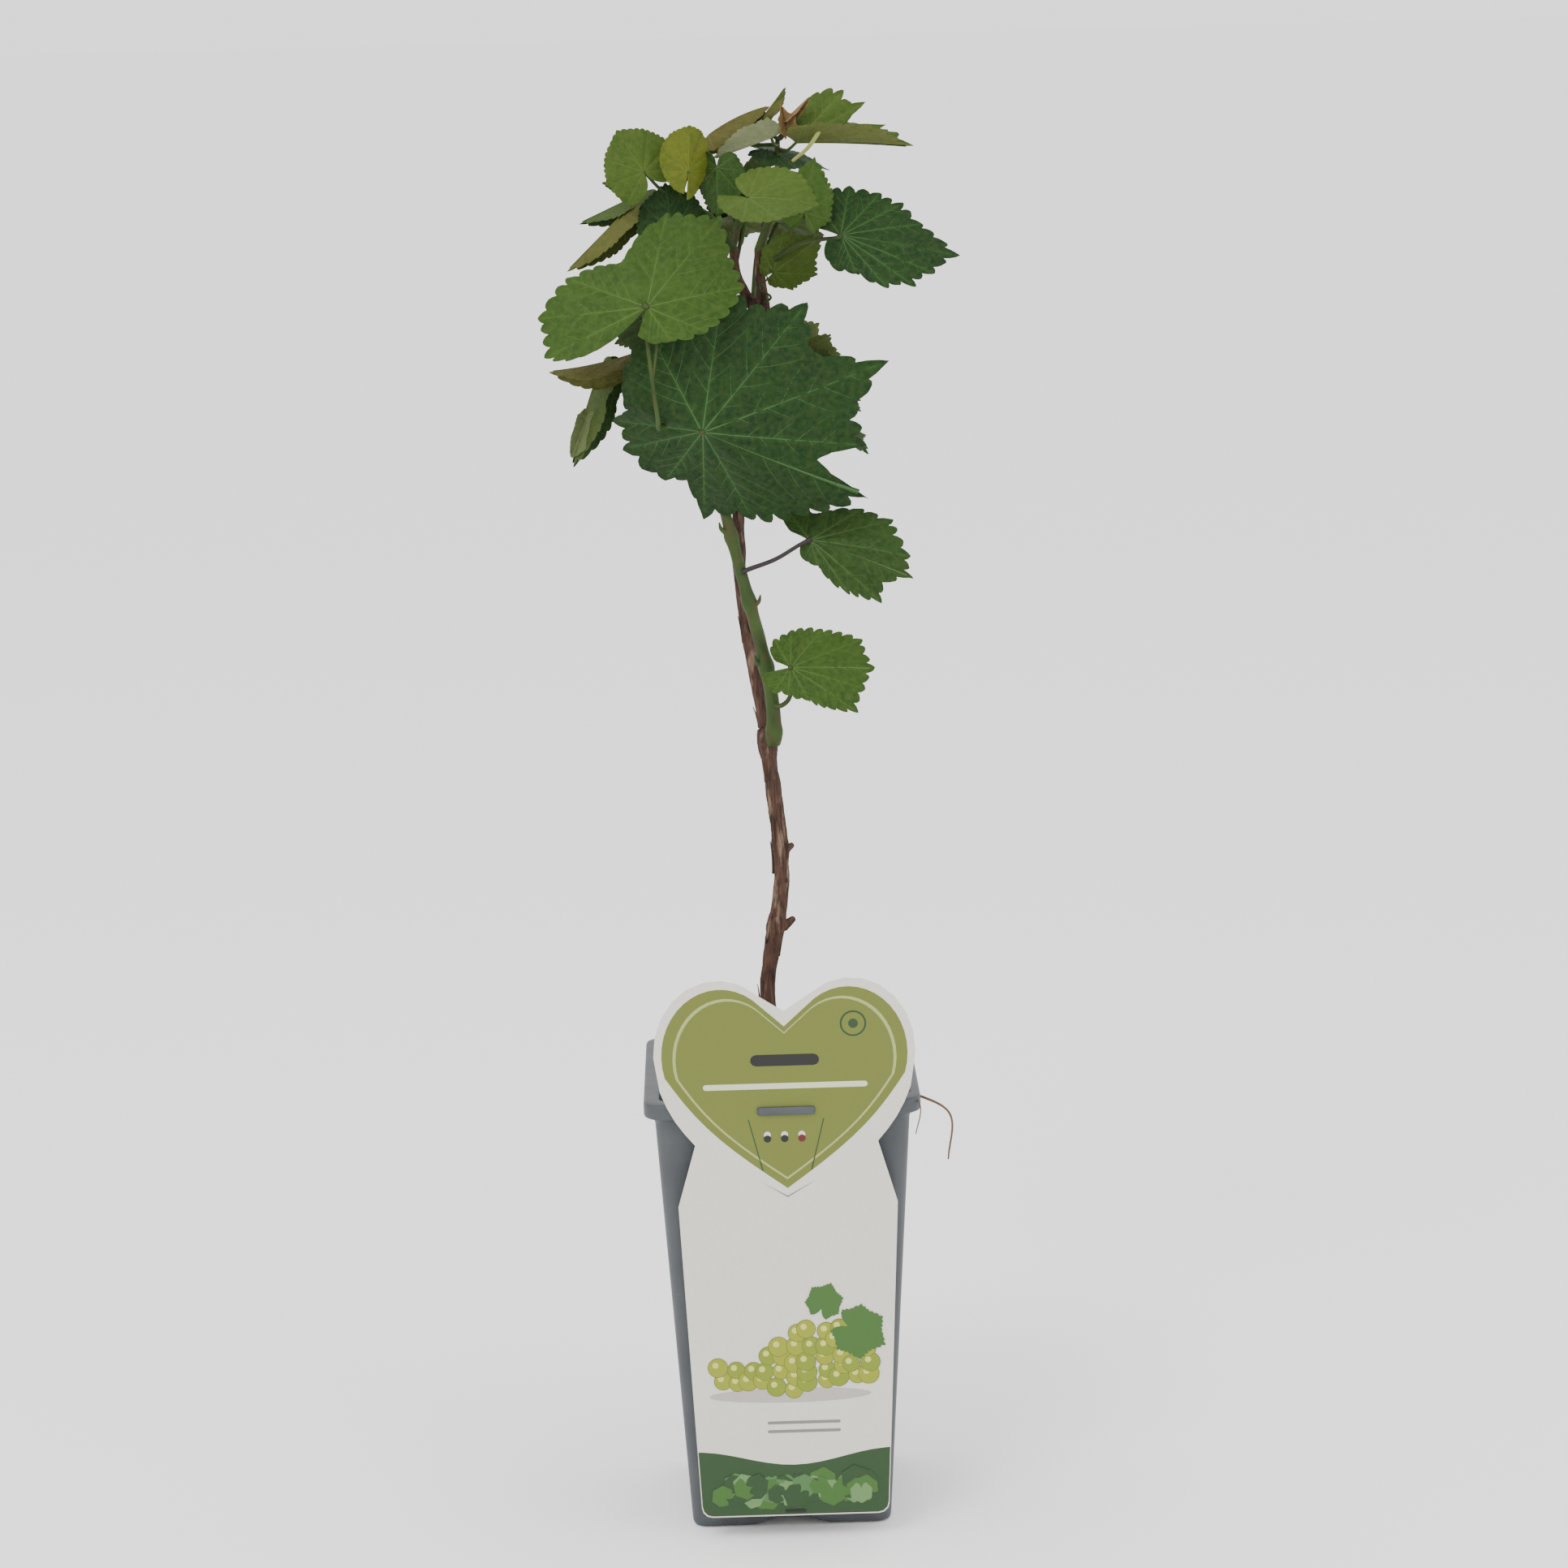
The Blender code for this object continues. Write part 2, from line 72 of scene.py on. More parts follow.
class Paint:
    """A node material under construction, with short calls for the nodes used here."""

    def __init__(self, name, roughness=0.6, specular=0.4):
        self.mat = bpy.data.materials.new(name)
        self.mat.use_nodes = True
        self.tree = self.mat.node_tree
        self.shader = self.tree.nodes["Principled BSDF"]
        self.shader.inputs["Roughness"].default_value = roughness
        self.shader.inputs["Specular IOR Level"].default_value = specular
        self.place = self.node("TexCoord").outputs["Object"]

    def node(self, kind, **values):
        """A new shader node with its sockets set; From_Min stands for the socket From Min."""
        made = self.tree.nodes.new("ShaderNode" + kind)
        for socket, value in values.items():
            made.inputs[socket.replace("_", " ")].default_value = value
        return made

    def link(self, source, target):
        self.tree.links.new(source, target)

    def noise(self, scale, detail=4, stretch=None):
        made = self.node("TexNoise", Scale=scale, Detail=detail, Roughness=NOISE_ROUGHNESS)
        place = self.place
        if stretch:
            mapping = self.node("Mapping", Scale=stretch)
            self.link(place, mapping.inputs["Vector"])
            place = mapping.outputs["Vector"]
        self.link(place, made.inputs["Vector"])
        return made.outputs["Fac"]

    def ramp(self, source, low, high):
        made = self.node("MapRange", From_Min=low, From_Max=high)
        self.link(source, made.inputs["Value"])
        return made.outputs["Result"]

    def blend(self, share, first, second):
        made = self.node("Mix")
        made.data_type = "RGBA"
        for number, value in ((0, share), (6, first), (7, second)):
            if isinstance(value, tuple):
                made.inputs[number].default_value = value
            else:
                self.link(value, made.inputs[number])
        return made.outputs[2]

    def attribute(self, name):
        made = self.node("Attribute")
        made.attribute_name = name
        return made.outputs["Fac"]

    def colour(self, source):
        self.link(source, self.shader.inputs["Base Color"])

    def bump(self, source, strength, distance):
        made = self.node("Bump", Strength=strength, Distance=distance)
        self.link(source, made.inputs["Height"])
        last = self.shader.inputs["Normal"]
        if last.is_linked:
            self.link(last.links[0].from_socket, made.inputs["Normal"])
        self.link(made.outputs["Normal"], last)

    def roughness(self, source, low, high):
        made = self.node("MapRange", To_Min=low, To_Max=high)
        self.link(source, made.inputs["Value"])
        self.link(made.outputs["Result"], self.shader.inputs["Roughness"])


LEAF_GLOSS = 0.12
PATCH_SCALE, GRAIN_SCALE, VEINLET_SCALE, CRINKLE_SCALE, WEAR_SCALE = 70, 500, 620, 260, 180


def leaf_paint(name, colour, shade, rib, roughness=0.6):
    """A blade face: patchy colour, paler by the ribs, a fine net of veinlets in the bump."""
    paint = Paint(name, roughness, LEAF_GLOSS)
    body = paint.blend(paint.ramp(paint.noise(PATCH_SCALE, 3), 0.35, 0.68), shade, colour)
    fine = paint.ramp(paint.noise(GRAIN_SCALE, 2), 0.3, 0.8)
    body = paint.blend(fine, body, mixed(colour, (1, 1, 0.4, 1), 0.015))
    paint.colour(paint.blend(paint.attribute("rib_glow"), body, rib))
    cells = paint.node("TexVoronoi", Scale=VEINLET_SCALE)
    cells.feature = "DISTANCE_TO_EDGE"
    paint.link(paint.place, cells.inputs["Vector"])
    paint.bump(cells.outputs["Distance"], 0.45, 0.0004)
    paint.bump(paint.noise(CRINKLE_SCALE), 0.35, 0.0006)
    paint.roughness(paint.noise(WEAR_SCALE, 3), roughness - 0.08, roughness + 0.14)
    return paint.mat


def plain_paint(name, colour, roughness=0.6, grain=400, variation=0.12, bump=0.15):
    """A nearly even colour with slight grain, for stalks, card ink and small parts."""
    paint = Paint(name, roughness, 0.35)
    patch = paint.ramp(paint.noise(grain), 0.3, 0.7)
    darker = tuple(v * (1 - variation) for v in colour[:3]) + (1,)
    paint.colour(paint.blend(patch, darker, colour))
    paint.bump(paint.noise(grain * 2.5, 3), bump, 0.0003)
    paint.roughness(paint.noise(grain, 3), roughness - 0.06, roughness + 0.1)
    return paint.mat


LEAF_COLOURS = {            # top of the blade, its darker patches, ribs on top, underside
    "dark": ((18, 47, 12), (11, 36, 12), (48, 80, 34), (52, 70, 34)),
    "mid": ((33, 58, 18), (24, 47, 15), (58, 84, 36), (60, 74, 36)),
    "bright": ((45, 69, 19), (34, 58, 16), (66, 90, 32), (66, 76, 36)),
    "light": ((57, 76, 22), (46, 66, 19), (76, 94, 34), (82, 86, 44)),
    "yellow": ((80, 86, 18), (58, 74, 16), (92, 100, 32), (86, 88, 34)),
    "bronze": ((72, 74, 28), (56, 60, 24), (96, 92, 46), (72, 70, 32)),
    "olive": ((62, 70, 24), (46, 58, 20), (90, 92, 44), (76, 78, 36)),
    "woolly": ((84, 94, 58), (68, 80, 46), (104, 110, 76), (94, 100, 72)),
    "tan": ((112, 90, 56), (84, 64, 38), (120, 98, 66), (116, 94, 62)),
}


def make_paints():
    paints = {}
    for kind, colours in LEAF_COLOURS.items():
        top, patch, rib, under = (srgb(*colour) for colour in colours)
        paints[kind] = [leaf_paint(f"{kind}_leaf_top", top, patch, rib),
                        leaf_paint(f"{kind}_leaf_under", under, mixed(under, patch, 0.3), rib, 0.7),
                        plain_paint(f"{kind}_leaf_rib", rib, 0.55)]
    return paints


# ---- leaf shape
LOBE_SPREAD = 48          # degrees between one lobe's tip and the next
SHOULDER = 0.88           # reach of the first side lobe, in midrib lengths
LOBE_TAPER = 0.8          # each further lobe's reach against the one before it
SIDE_LOBES = 4            # at most, as far as they fit before the sinus
SINUS = (172, 0.14)       # where the blade meets its petiole, as degrees and reach
CLEFT_DEPTH = 0.24
TOOTH_WIDTH = 0.13
TOOTH_STEPS = (0, 0.17, 0.36, 0.5, 0.64, 0.83)


def half_value(leaf, side, name, usual):
    """A half's own value, such as other_spread, or else the leaf's, or the usual one."""
    return leaf.get(side + name, leaf.get(name, usual))


def side_lobes(leaf, side):
    """One half's lobes as degrees from the midrib, reach and depth of the cleft before each.

    side is "" or "other_".  A large leaf may list its own lobes; the others follow a rule.
    """
    if side + "lobes" in leaf:
        return leaf[side + "lobes"]
    spread = half_value(leaf, side, "spread", LOBE_SPREAD)
    shoulder = half_value(leaf, side, "shoulder", SHOULDER)
    taper = half_value(leaf, side, "taper", LOBE_TAPER)
    depth = CLEFT_DEPTH * half_value(leaf, side, "lobed", 1.0)
    return [(n * spread, shoulder * taper ** (n - 1), depth)
            for n in range(1, SIDE_LOBES + 1) if n * spread < SINUS[0] - 12]


def half_outline(leaf, side):
    """Angles, smooth reaches and toothed reaches along one half of the blade."""
    teeth = leaf.get("teeth", 0.075)
    sinus = half_value(leaf, side, "sinus", SINUS)
    marks = [(0, 1.0, 0), *side_lobes(leaf, side), (*sinus, 0)]
    rows = []
    for number, ((a0, r0, _), (a1, r1, depth)) in enumerate(zip(marks, marks[1:])):
        last = a1 == sinus[0]
        run = math.hypot(math.radians(a1 - a0) * (r0 + r1) / 2, r1 - r0)
        count = max(1, round(run / TOOTH_WIDTH))
        for tooth in range(count):
            size = teeth * (0.6 + 0.55 * abs(math.sin(2.4 * tooth + 1.7 * number + 1)))
            for phase in TOOTH_STEPS:
                t = (tooth + phase) / count
                dip = 1 - abs(2 * t - 1) ** 1.4
                smooth = (r0 + (r1 - r0) * (t ** 1.5 if last else t)) * (1 - depth * dip)
                lift = abs(math.cos(math.pi * phase)) ** 0.7 - 0.5
                fade = (1 - t if last else 1) * (1 - 2.4 * min(depth, 0.35) * dip)
                rows.append((a0 + (a1 - a0) * t, smooth, smooth + size * smooth ** 0.5 * lift * fade))
    return rows + [(sinus[0], sinus[1], sinus[1])]


def blade_outline(leaf):
    """The whole outline as arrays, from one side of the sinus round the tip to the other."""
    right, left = half_outline(leaf, ""), half_outline(leaf, "other_")
    rows = [(-a, s, r) for a, s, r in reversed(left)][:-1] + right
    angle, smooth, toothed = np.array(rows).T
    return np.radians(angle), smooth, toothed


def arc(length, start, curl):
    """Ends of strips that start at an angle and curl evenly: along, up and the end's angle."""
    curl = np.where(np.abs(curl) < 1e-4, 1e-4, curl)
    end = start + curl * length
    return (np.sin(end) - np.sin(start)) / curl, (np.cos(start) - np.cos(end)) / curl, end


def shape_blade(along, across, height, leaf):
    """Flat blade points, in midrib lengths, to the bent blade's own frame (tip, side, face)."""
    fold, cup = math.radians(leaf.get("fold", 0)), math.radians(leaf.get("cup", 0))
    other_fold = math.radians(leaf.get("other_fold", leaf.get("fold", 0)))
    out, up, turn = arc(np.abs(across), np.where(across >= 0, fold, other_fold), cup)
    out = (out - height * np.sin(turn)) * np.where(across < 0, -1, 1)
    up = up + height * np.cos(turn)
    forth, rise, turn = arc(along, 0, np.where(along >= 0, math.radians(leaf.get("bend", 0)), 0))
    return np.stack([forth - up * np.sin(turn), out, rise + up * np.cos(turn)], -1)


def leaf_axes(leaf):
    tip = np.array(leaf["tip"], float)
    tip /= np.linalg.norm(tip)
    face = np.array(leaf["face"], float)
    face -= face @ tip * tip
    face /= np.linalg.norm(face)
    return np.stack([tip, np.cross(face, tip), face])


def place_blade(along, across, height, leaf):
    """Flat blade points to millimetres in the object's frame."""
    return np.array(leaf["foot"]) + leaf["size"] * shape_blade(along, across, height, leaf) @ leaf_axes(leaf)


# ---- leaves of this plant
def new_leaf(foot, tip, face, size, kind, **shape):
    """A leaf's foot in mm, ways of its tip and face, midrib length, kind of colour, and shape."""
    return dict(foot=foot, tip=tip, face=face, size=size, kind=kind, **shape)


LEAVES = {
    "centre_leaf": [
        new_leaf(
            (-23, -36, 425), (0.88, 0.1, -0.4), (-0.05, -0.97, -0.05), 66, "dark", fold=-12, other_fold=-40,
            bend=-6, sinus=(186, 0.45), other_sinus=(176, 0.42),
            lobes=[(17, 0.92, 0.3), (42, 1.1, 0.14), (72, 0.92, 0.24), (104, 0.8, 0.12), (140, 0.62, 0.12)],
            other_lobes=[(45, 0.72, 0.04), (68, 0.74, 0.06), (94, 0.5, 0.28), (130, 0.5, 0.03),
                         (156, 0.5, 0.08)])],
    "upper_left_leaf": [
        new_leaf(
            (-42, -44, 472.5), (0.62, 0.3, 0.72), (-0.05, -0.9, 0.35), 44, "bright", fold=-8, bend=-10,
            sinus=(178, 0.16), other_sinus=(160, 0.26), teeth=0.06,
            lobes=[(27, 0.88, 0.04), (103, 0.72, 0.42), (131, 0.9, 0.02), (153, 0.92, 0.04)],
            other_lobes=[(38, 0.83, 0.1), (75, 0.52, 0.02), (107, 0.34, 0)])],
    "right_leaf": [
        new_leaf(
            (30, -24, 495.5), (0.97, -0.1, -0.15), (0.15, -0.8, 0.55), 43, "dark", fold=-6, other_fold=-20,
            bend=-8, sinus=(172, 0.3), other_sinus=(150, 0.12),
            lobes=[(22, 0.7, 0.03), (42, 0.62, 0.04), (62, 0.56, 0.04), (90, 0.52, 0.04),
                   (130, 0.46, 0.05)],
            other_lobes=[(13, 0.85, 0.03), (26, 0.76, 0.05), (40, 0.6, 0.06), (60, 0.34, 0.02)])],
    "middle_right_leaf": [
        new_leaf(
            (16.4, -6, 380), (0.88, -0.35, -0.26), (-0.1, -0.8, 0.58), 41, "mid", fold=-5, other_fold=-40,
            bend=-12, sinus=(174, 0.2), other_sinus=(150, 0.06),
            lobes=[(13, 0.92, 0.03), (37, 0.76, 0.05), (57, 0.56, 0.04), (145, 0.42, 0.42)],
            other_lobes=[(22, 0.88, 0.14), (36, 0.6, 0.04), (58, 0.24, 0)])],
    "low_right_leaf": [
        new_leaf(
            (7.6, -20, 333.7), (0.97, -0.25, 0.03), (-0.1, -0.85, 0.5), 31, "bright", fold=-8,
            other_fold=-15, bend=-12, sinus=(158, 0.2), other_sinus=(168, 0.38),
            lobes=[(25, 0.92, 0.04), (57, 0.6, 0.03), (95, 0.5, 0.02), (122, 0.44, 0.02)],
            other_lobes=[(15, 0.94, 0.02), (32, 0.98, 0.04), (60, 0.46, 0.05), (95, 0.32, 0.02),
                         (125, 0.36, 0.02)])],
    "left_rolled_leaf": [
        new_leaf(
            (-47, -22, 453.5), (-0.95, 0.05, -0.3), (-0.25, -0.45, -0.85), 33, "bronze", fold=40, cup=110,
            bend=-15, shoulder=0.34, lobed=0.2, teeth=0.035)],
    "left_hanging_leaf": [
        new_leaf(
            (-61, -8, 446), (-0.36, 0.05, -0.93), (0.85, -0.35, -0.3), 37, "mid", fold=45, cup=90, bend=10,
            shoulder=0.36, lobed=0.2, teeth=0.04),
        new_leaf(
            (-66.5, -11, 429), (-0.36, 0.05, -0.93), (0.3, -0.95, -0.1), 16, "woolly", fold=35,
            shoulder=0.42, lobed=0.2, teeth=0.03)],
    "top_left_leaves": [
        new_leaf(
            (-25.5, -24, 520), (0.05, -0.15, 0.97), (0, -0.97, -0.1), 17, "yellow", fold=-25,
            other_fold=-50, spread=32, shoulder=0.9, taper=0.84, lobed=0.08, teeth=0.03, sinus=(170, 0.5),
            other_sinus=(182, 0.62)),
        new_leaf(
            (-42, -16, 520), (-0.5, -0.1, 0.8), (-0.3, -0.8, 0.5), 18, "light", fold=-15, bend=-20,
            spread=40, shoulder=0.86, taper=0.95, lobed=0.1, teeth=0.035),
        new_leaf(
            (-31.5, -10, 496.5), (-0.15, 0.1, 0.97), (0, -0.98, 0.1), 19, "dark", fold=-15, spread=38,
            shoulder=0.85, taper=0.9, lobed=0.2, teeth=0.04)],
    "far_left_leaves": [
        new_leaf(
            (-50, 2, 504), (-0.72, -0.15, -0.68), (0.45, -0.35, -0.7), 30, "olive", fold=50, cup=60,
            shoulder=0.38, lobed=0.5, teeth=0.055),
        new_leaf(
            (-43, 6, 511), (-0.88, 0.05, -0.4), (0.2, -0.5, -0.8), 26, "mid", fold=50, cup=60,
            shoulder=0.38, lobed=0.5, teeth=0.055),
        new_leaf(
            (-47, 10, 513), (-0.98, 0.05, 0.18), (0.1, -0.7, -0.7), 11, "olive", fold=75, shoulder=0.4,
            lobed=0.3)],
    "top_middle_leaves": [
        new_leaf(
            (-4, -40, 511), (0.93, -0.3, 0.0), (0.05, -0.64, 0.77), 26, "light", fold=6, bend=-15,
            spread=42, shoulder=0.76, taper=0.75, lobed=0.12, teeth=0.045, sinus=(142, 0.12),
            other_sinus=(184, 0.44)),
        new_leaf(
            (17, -24, 504), (0.2, 0.1, 0.97), (0.05, -0.97, 0.1), 20, "bright", fold=-10, shoulder=0.62,
            lobed=0.4),
        new_leaf(
            (5, -6, 481), (0.78, -0.2, 0.55), (0.1, -0.95, 0.1), 23, "light", fold=-10, spread=40,
            shoulder=0.7, taper=0.6, lobed=0.6),
        new_leaf(
            (-15, -20, 521), (0, 0.1, -1), (-0.25, -0.95, 0.1), 18, "mid", fold=-30, spread=40,
            shoulder=0.75, lobed=0.2, teeth=0.04)],
    "young_tip_leaves": [
        new_leaf(
            (5.5, -8, 531), (-0.92, -0.2, -0.3), (0, 0.5, 0.85), 23, "woolly", fold=52, shoulder=0.4,
            lobed=0.4, teeth=0.06),
        new_leaf(
            (4, 2, 526), (0.97, 0.05, -0.18), (0, -0.33, 0.94), 24, "dark", fold=-12, bend=-15,
            shoulder=0.55, lobed=0.6),
        new_leaf(
            (-17.5, 0, 532), (0.8, -0.1, 0.58), (0.5, -0.3, -0.75), 25, "bronze", fold=45, cup=80, bend=25,
            shoulder=0.42, lobed=0.2, teeth=0.03),
        new_leaf(
            (2.5, 2, 538), (0.62, 0, 0.78), (0.5, -0.3, -0.6), 14, "olive", fold=85, shoulder=0.3,
            lobed=0.2, teeth=0.04),
        new_leaf(
            (11.2, -4, 534), (-0.2, -0.1, 0.97), (0.3, -0.9, -0.1), 9, "tan", fold=45, shoulder=0.75,
            lobed=0.9, teeth=0.06),
        new_leaf(
            (12, -4, 538), (0.72, -0.2, 0.66), (0.5, -0.8, -0.3), 11, "tan", fold=60, cup=60, shoulder=0.36,
            lobed=0.4, teeth=0.06)],
    "top_right_leaves": [
        new_leaf(
            (15, -6, 529), (1, -0.12, 0), (-0.05, 0.1, 1), 42, "light", fold=68, other_fold=26, bend=-6,
            sinus=(105, 0.1), other_sinus=(130, 0.12),
            lobes=[(8, 0.86, 0.02), (14, 0.76, 0.1), (34, 0.68, 0.34), (52, 0.6, 0.12)],
            other_lobes=[(16, 0.82, 0.05), (40, 0.5, 0.05), (75, 0.3, 0)])],
}


# ---- mesh helpers
def new_object(name, shape, mats, replaces=(), smooth=True):
    mesh = shape.mesh(name)
    for mat in mats:
        mesh.materials.append(mat)
    item = bpy.data.objects.new(name, mesh)
    bpy.context.scene.collection.objects.link(item)
    if smooth:
        mesh.shade_smooth()
    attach(item, "root")
    if replaces:
        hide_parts(*replaces)
    return item


class Shape:
    """Vertices in millimetres, faces with material numbers and one value a vertex, being gathered."""

    def __init__(self):
        self.points, self.faces, self.inks, self.glow = [], [], [], []

    def add(self, points, faces, ink=0, glow=0.0):
        start = len(self.points)
        self.points += [tuple(p) for p in points]
        self.faces += [tuple(i + start for i in face) for face in faces]
        self.inks += [ink] * len(faces)
        self.glow += list(glow) if hasattr(glow, "__len__") else [glow] * len(points)

    def grid(self, rows, ink=0, glow=None, closed=False, flip=False):
        """Faces between equal rows of points."""
        rows = np.asarray(rows, float)
        count, width = rows.shape[:2]
        faces = []
        for i in range(count - 1):
            for j in range(width if closed else width - 1):
                k = (j + 1) % width
                face = (i * width + j, i * width + k, (i + 1) * width + k, (i + 1) * width + j)
                faces.append(face[::-1] if flip else face)
        self.add(rows.reshape(-1, 3), faces, ink, 0.0 if glow is None else np.asarray(glow).ravel())

    def mesh(self, name):
        mesh = bpy.data.meshes.new(name)
        mesh.from_pydata([(x * MM, y * MM, z * MM) for x, y, z in self.points], [], self.faces)
        mesh.polygons.foreach_set("material_index", self.inks)
        glow = mesh.attributes.new("rib_glow", "FLOAT", "POINT")
        glow.data.foreach_set("value", self.glow)
        mesh.update()
        return mesh


def smooth_route(points, spacing):
    """Points read along a Catmull-Rom curve through the given ones."""
    points = [np.array(p, float) for p in points]
    ends = [2 * points[0] - points[1]] + points + [2 * points[-1] - points[-2]]
    route = []
    for a, b, c, d in zip(ends, ends[1:], ends[2:], ends[3:]):
        count = max(1, round(float(np.linalg.norm(c - b)) / spacing))
        for i in range(count):
            t = i / count
            route.append(0.5 * (2 * b + (c - a) * t + (2 * a - 5 * b + 4 * c - d) * t * t
                                + (3 * b - a - 3 * c + d) * t ** 3))
    return np.array(route + [points[-1]])


END_ROUNDING = 0.8        # how far a tube's end stands out, in its radius
CAP_RINGS = (0.92, 0.7, 0.4, 0.02)


def sweep(shape, way, radius_at, sides, spacing, relief=None):
    """Adds a tapering tube along a way; radius_at takes the share of the way, relief (angle, run)."""
    route = smooth_route(way, spacing)
    steps = np.diff(route, axis=0)
    runs = np.concatenate([[0], np.cumsum(np.linalg.norm(steps, axis=1))])
    ahead = np.gradient(route, axis=0)
    ahead /= np.linalg.norm(ahead, axis=1)[:, None]
    side = np.cross(ahead[0], (0, 1, 0))
    if np.linalg.norm(side) < 0.2:
        side = np.cross(ahead[0], (1, 0, 0))
    rows = []
    angles = np.arange(sides) * 2 * math.pi / sides
    for centre, forward, run in zip(route, ahead, runs):
        side = side - side @ forward * forward
        side /= np.linalg.norm(side)
        up = np.cross(forward, side)
        radius = np.full(sides, float(radius_at(run / runs[-1])))
        if relief:
            radius += np.array([relief(angle, run) for angle in angles])
        circle = np.cos(angles)[:, None] * side + np.sin(angles)[:, None] * up
        rows.append(centre + radius[:, None] * circle)
    rows = np.array(rows)
    for row, centre, forward, sign in ((rows[0], route[0], ahead[0], -1),
                                       (rows[-1], route[-1], ahead[-1], 1)):
        reach = float(radius_at(0 if sign < 0 else 1)) * END_ROUNDING
        cap = [centre + (row - centre) * share + sign * forward * reach * (1 - share * share) ** 0.5
               for share in CAP_RINGS]
        rows = np.concatenate([cap[::-1], rows]) if sign < 0 else np.concatenate([rows, cap])
    shape.grid(rows, closed=True, flip=True)


# ---- leaf meshes
RING_GAP = 2.0            # millimetres between the rings of a blade's mesh
FEWEST_RINGS = 10
HALF_THICKNESS = 0.12     # of a blade, in millimetres
RIB_FOOT = 0.16           # a rib's edge above the blade's middle, in millimetres
# Widths, steps, reliefs and reaches below are in midrib lengths.
MIDRIB_WIDTH, RIB_WIDTH, RIB_TIP_WIDTH = 0.012, 0.009, 0.002
SIDE_RIB_WIDTH, SIDE_RIB_TIP_WIDTH = 0.004, 0.0012
RIB_REACH = 0.97
SIDE_RIB_SHARES = np.arange(0.25, 0.9, 0.16)
SIDE_RIB_ANGLE, SIDE_RIB_CURL, SIDE_RIB_STEP = math.radians(46), math.radians(1.5), 0.03
QUILTING, RIB_SINK, EDGE_WAVE = 0.012, 0.01, 0.03


def vein_lines(leaf):
    """Main ribs to the lobe tips and side ribs towards the teeth, as flat lines with widths."""
    angle, smooth, _ = blade_outline(leaf)
    ribs = [(math.radians(-a), r) for a, r, _ in reversed(side_lobes(leaf, "other_"))] + [(0, 1.0)]
    ribs += [(math.radians(a), r) for a, r, _ in side_lobes(leaf, "")]
    lines = []
    for number, (heading, reach) in enumerate(ribs):
        end = RIB_REACH * reach * heading_to(heading)
        width = MIDRIB_WIDTH if heading == 0 else RIB_WIDTH
        lines.append((np.linspace(np.zeros(2), end, 24), width, RIB_TIP_WIDTH))
        for turn in (-1, 1):
            beside = number + turn
            edge = ribs[beside][0] if 0 <= beside < len(ribs) else angle[0 if turn < 0 else -1]
            room = abs(edge - heading) * (0.5 if 0 <= beside < len(ribs) else 0.9)
            for share in SIDE_RIB_SHARES:
                lines.append(side_vein(end * (share + 0.04 * turn), heading, turn, room, angle, smooth))
    return [line for line in lines if len(line[0]) > 2]


def side_vein(start, heading, turn, room, angle, smooth):
    """A side rib that leaves its rib, curves gently to the edge and keeps within its own room."""
    points = [np.array(start)]
    course = heading + turn * SIDE_RIB_ANGLE
    for _ in range(40):
        ahead = points[-1] + SIDE_RIB_STEP * heading_to(course)
        toward = math.atan2(ahead[1], ahead[0])
        if np.hypot(*ahead) > 0.95 * np.interp(toward, angle, smooth) or abs(toward - heading) > room:
            break
        points.append(ahead)
        course -= turn * SIDE_RIB_CURL
    return np.array(points), SIDE_RIB_WIDTH, SIDE_RIB_TIP_WIDTH


def distance_to(flat, lines):
    points = np.concatenate(lines)
    return np.min(np.hypot(*(flat[:, None] - points[None]).transpose(2, 0, 1)), axis=1)


def blade_height(along, across, lines, phase):
    """How far the blade's face stands off its smooth form: sunk ribs, raised quilting, waved edge."""
    flat = np.stack([along.ravel(), across.ravel()], -1)
    near_main = distance_to(flat, [line for line, width, _ in lines if width >= RIB_WIDTH])
    near_any = distance_to(flat, [line for line, _, _ in lines])
    height = QUILTING * (1 - np.exp(-(near_any / 0.05) ** 2)) - RIB_SINK * np.exp(-(near_main / 0.06) ** 2)
    reach = np.hypot(along, across).ravel()
    swing = np.arctan2(across, along).ravel()
    height += EDGE_WAVE * reach ** 2 * (np.sin(5 * swing + phase) + 0.5 * np.sin(11 * swing + 2 * phase))
    glow = 0.3 * np.exp(-(near_main / 0.016) ** 2) + 0.1 * np.exp(-(near_any / 0.014) ** 2)
    return height.reshape(along.shape), np.clip(glow, 0, 1).reshape(along.shape)


def add_blade(shape, leaf, ink, phase):
    """One leaf blade as a thin closed shell: top, underside, edge and raised ribs on both faces."""
    angle, smooth, toothed = blade_outline(leaf)
    rings = np.linspace(0, 1, max(FEWEST_RINGS, round(leaf["size"] / RING_GAP)))[:, None] ** 0.9
    reach = rings * smooth + rings ** 8 * (toothed - smooth)
    along, across = reach * np.cos(angle), reach * np.sin(angle)
    lines = vein_lines(leaf)
    height, glow = blade_height(along, across, lines, phase)
    thick = HALF_THICKNESS / leaf["size"]
    top = place_blade(along, across, height + thick, leaf)
    under = place_blade(along, across, height - thick, leaf)
    shape.grid(top, ink, glow, flip=True)
    shape.grid(under, ink + 1, glow * 0.8)
    shape.grid([np.concatenate([layer[:, 0], layer[-1, 1:], layer[-2::-1, -1]]) for layer in (top, under)],
               ink)
    for line in lines:
        add_vein(shape, line, leaf, lines, phase, ink + 2)


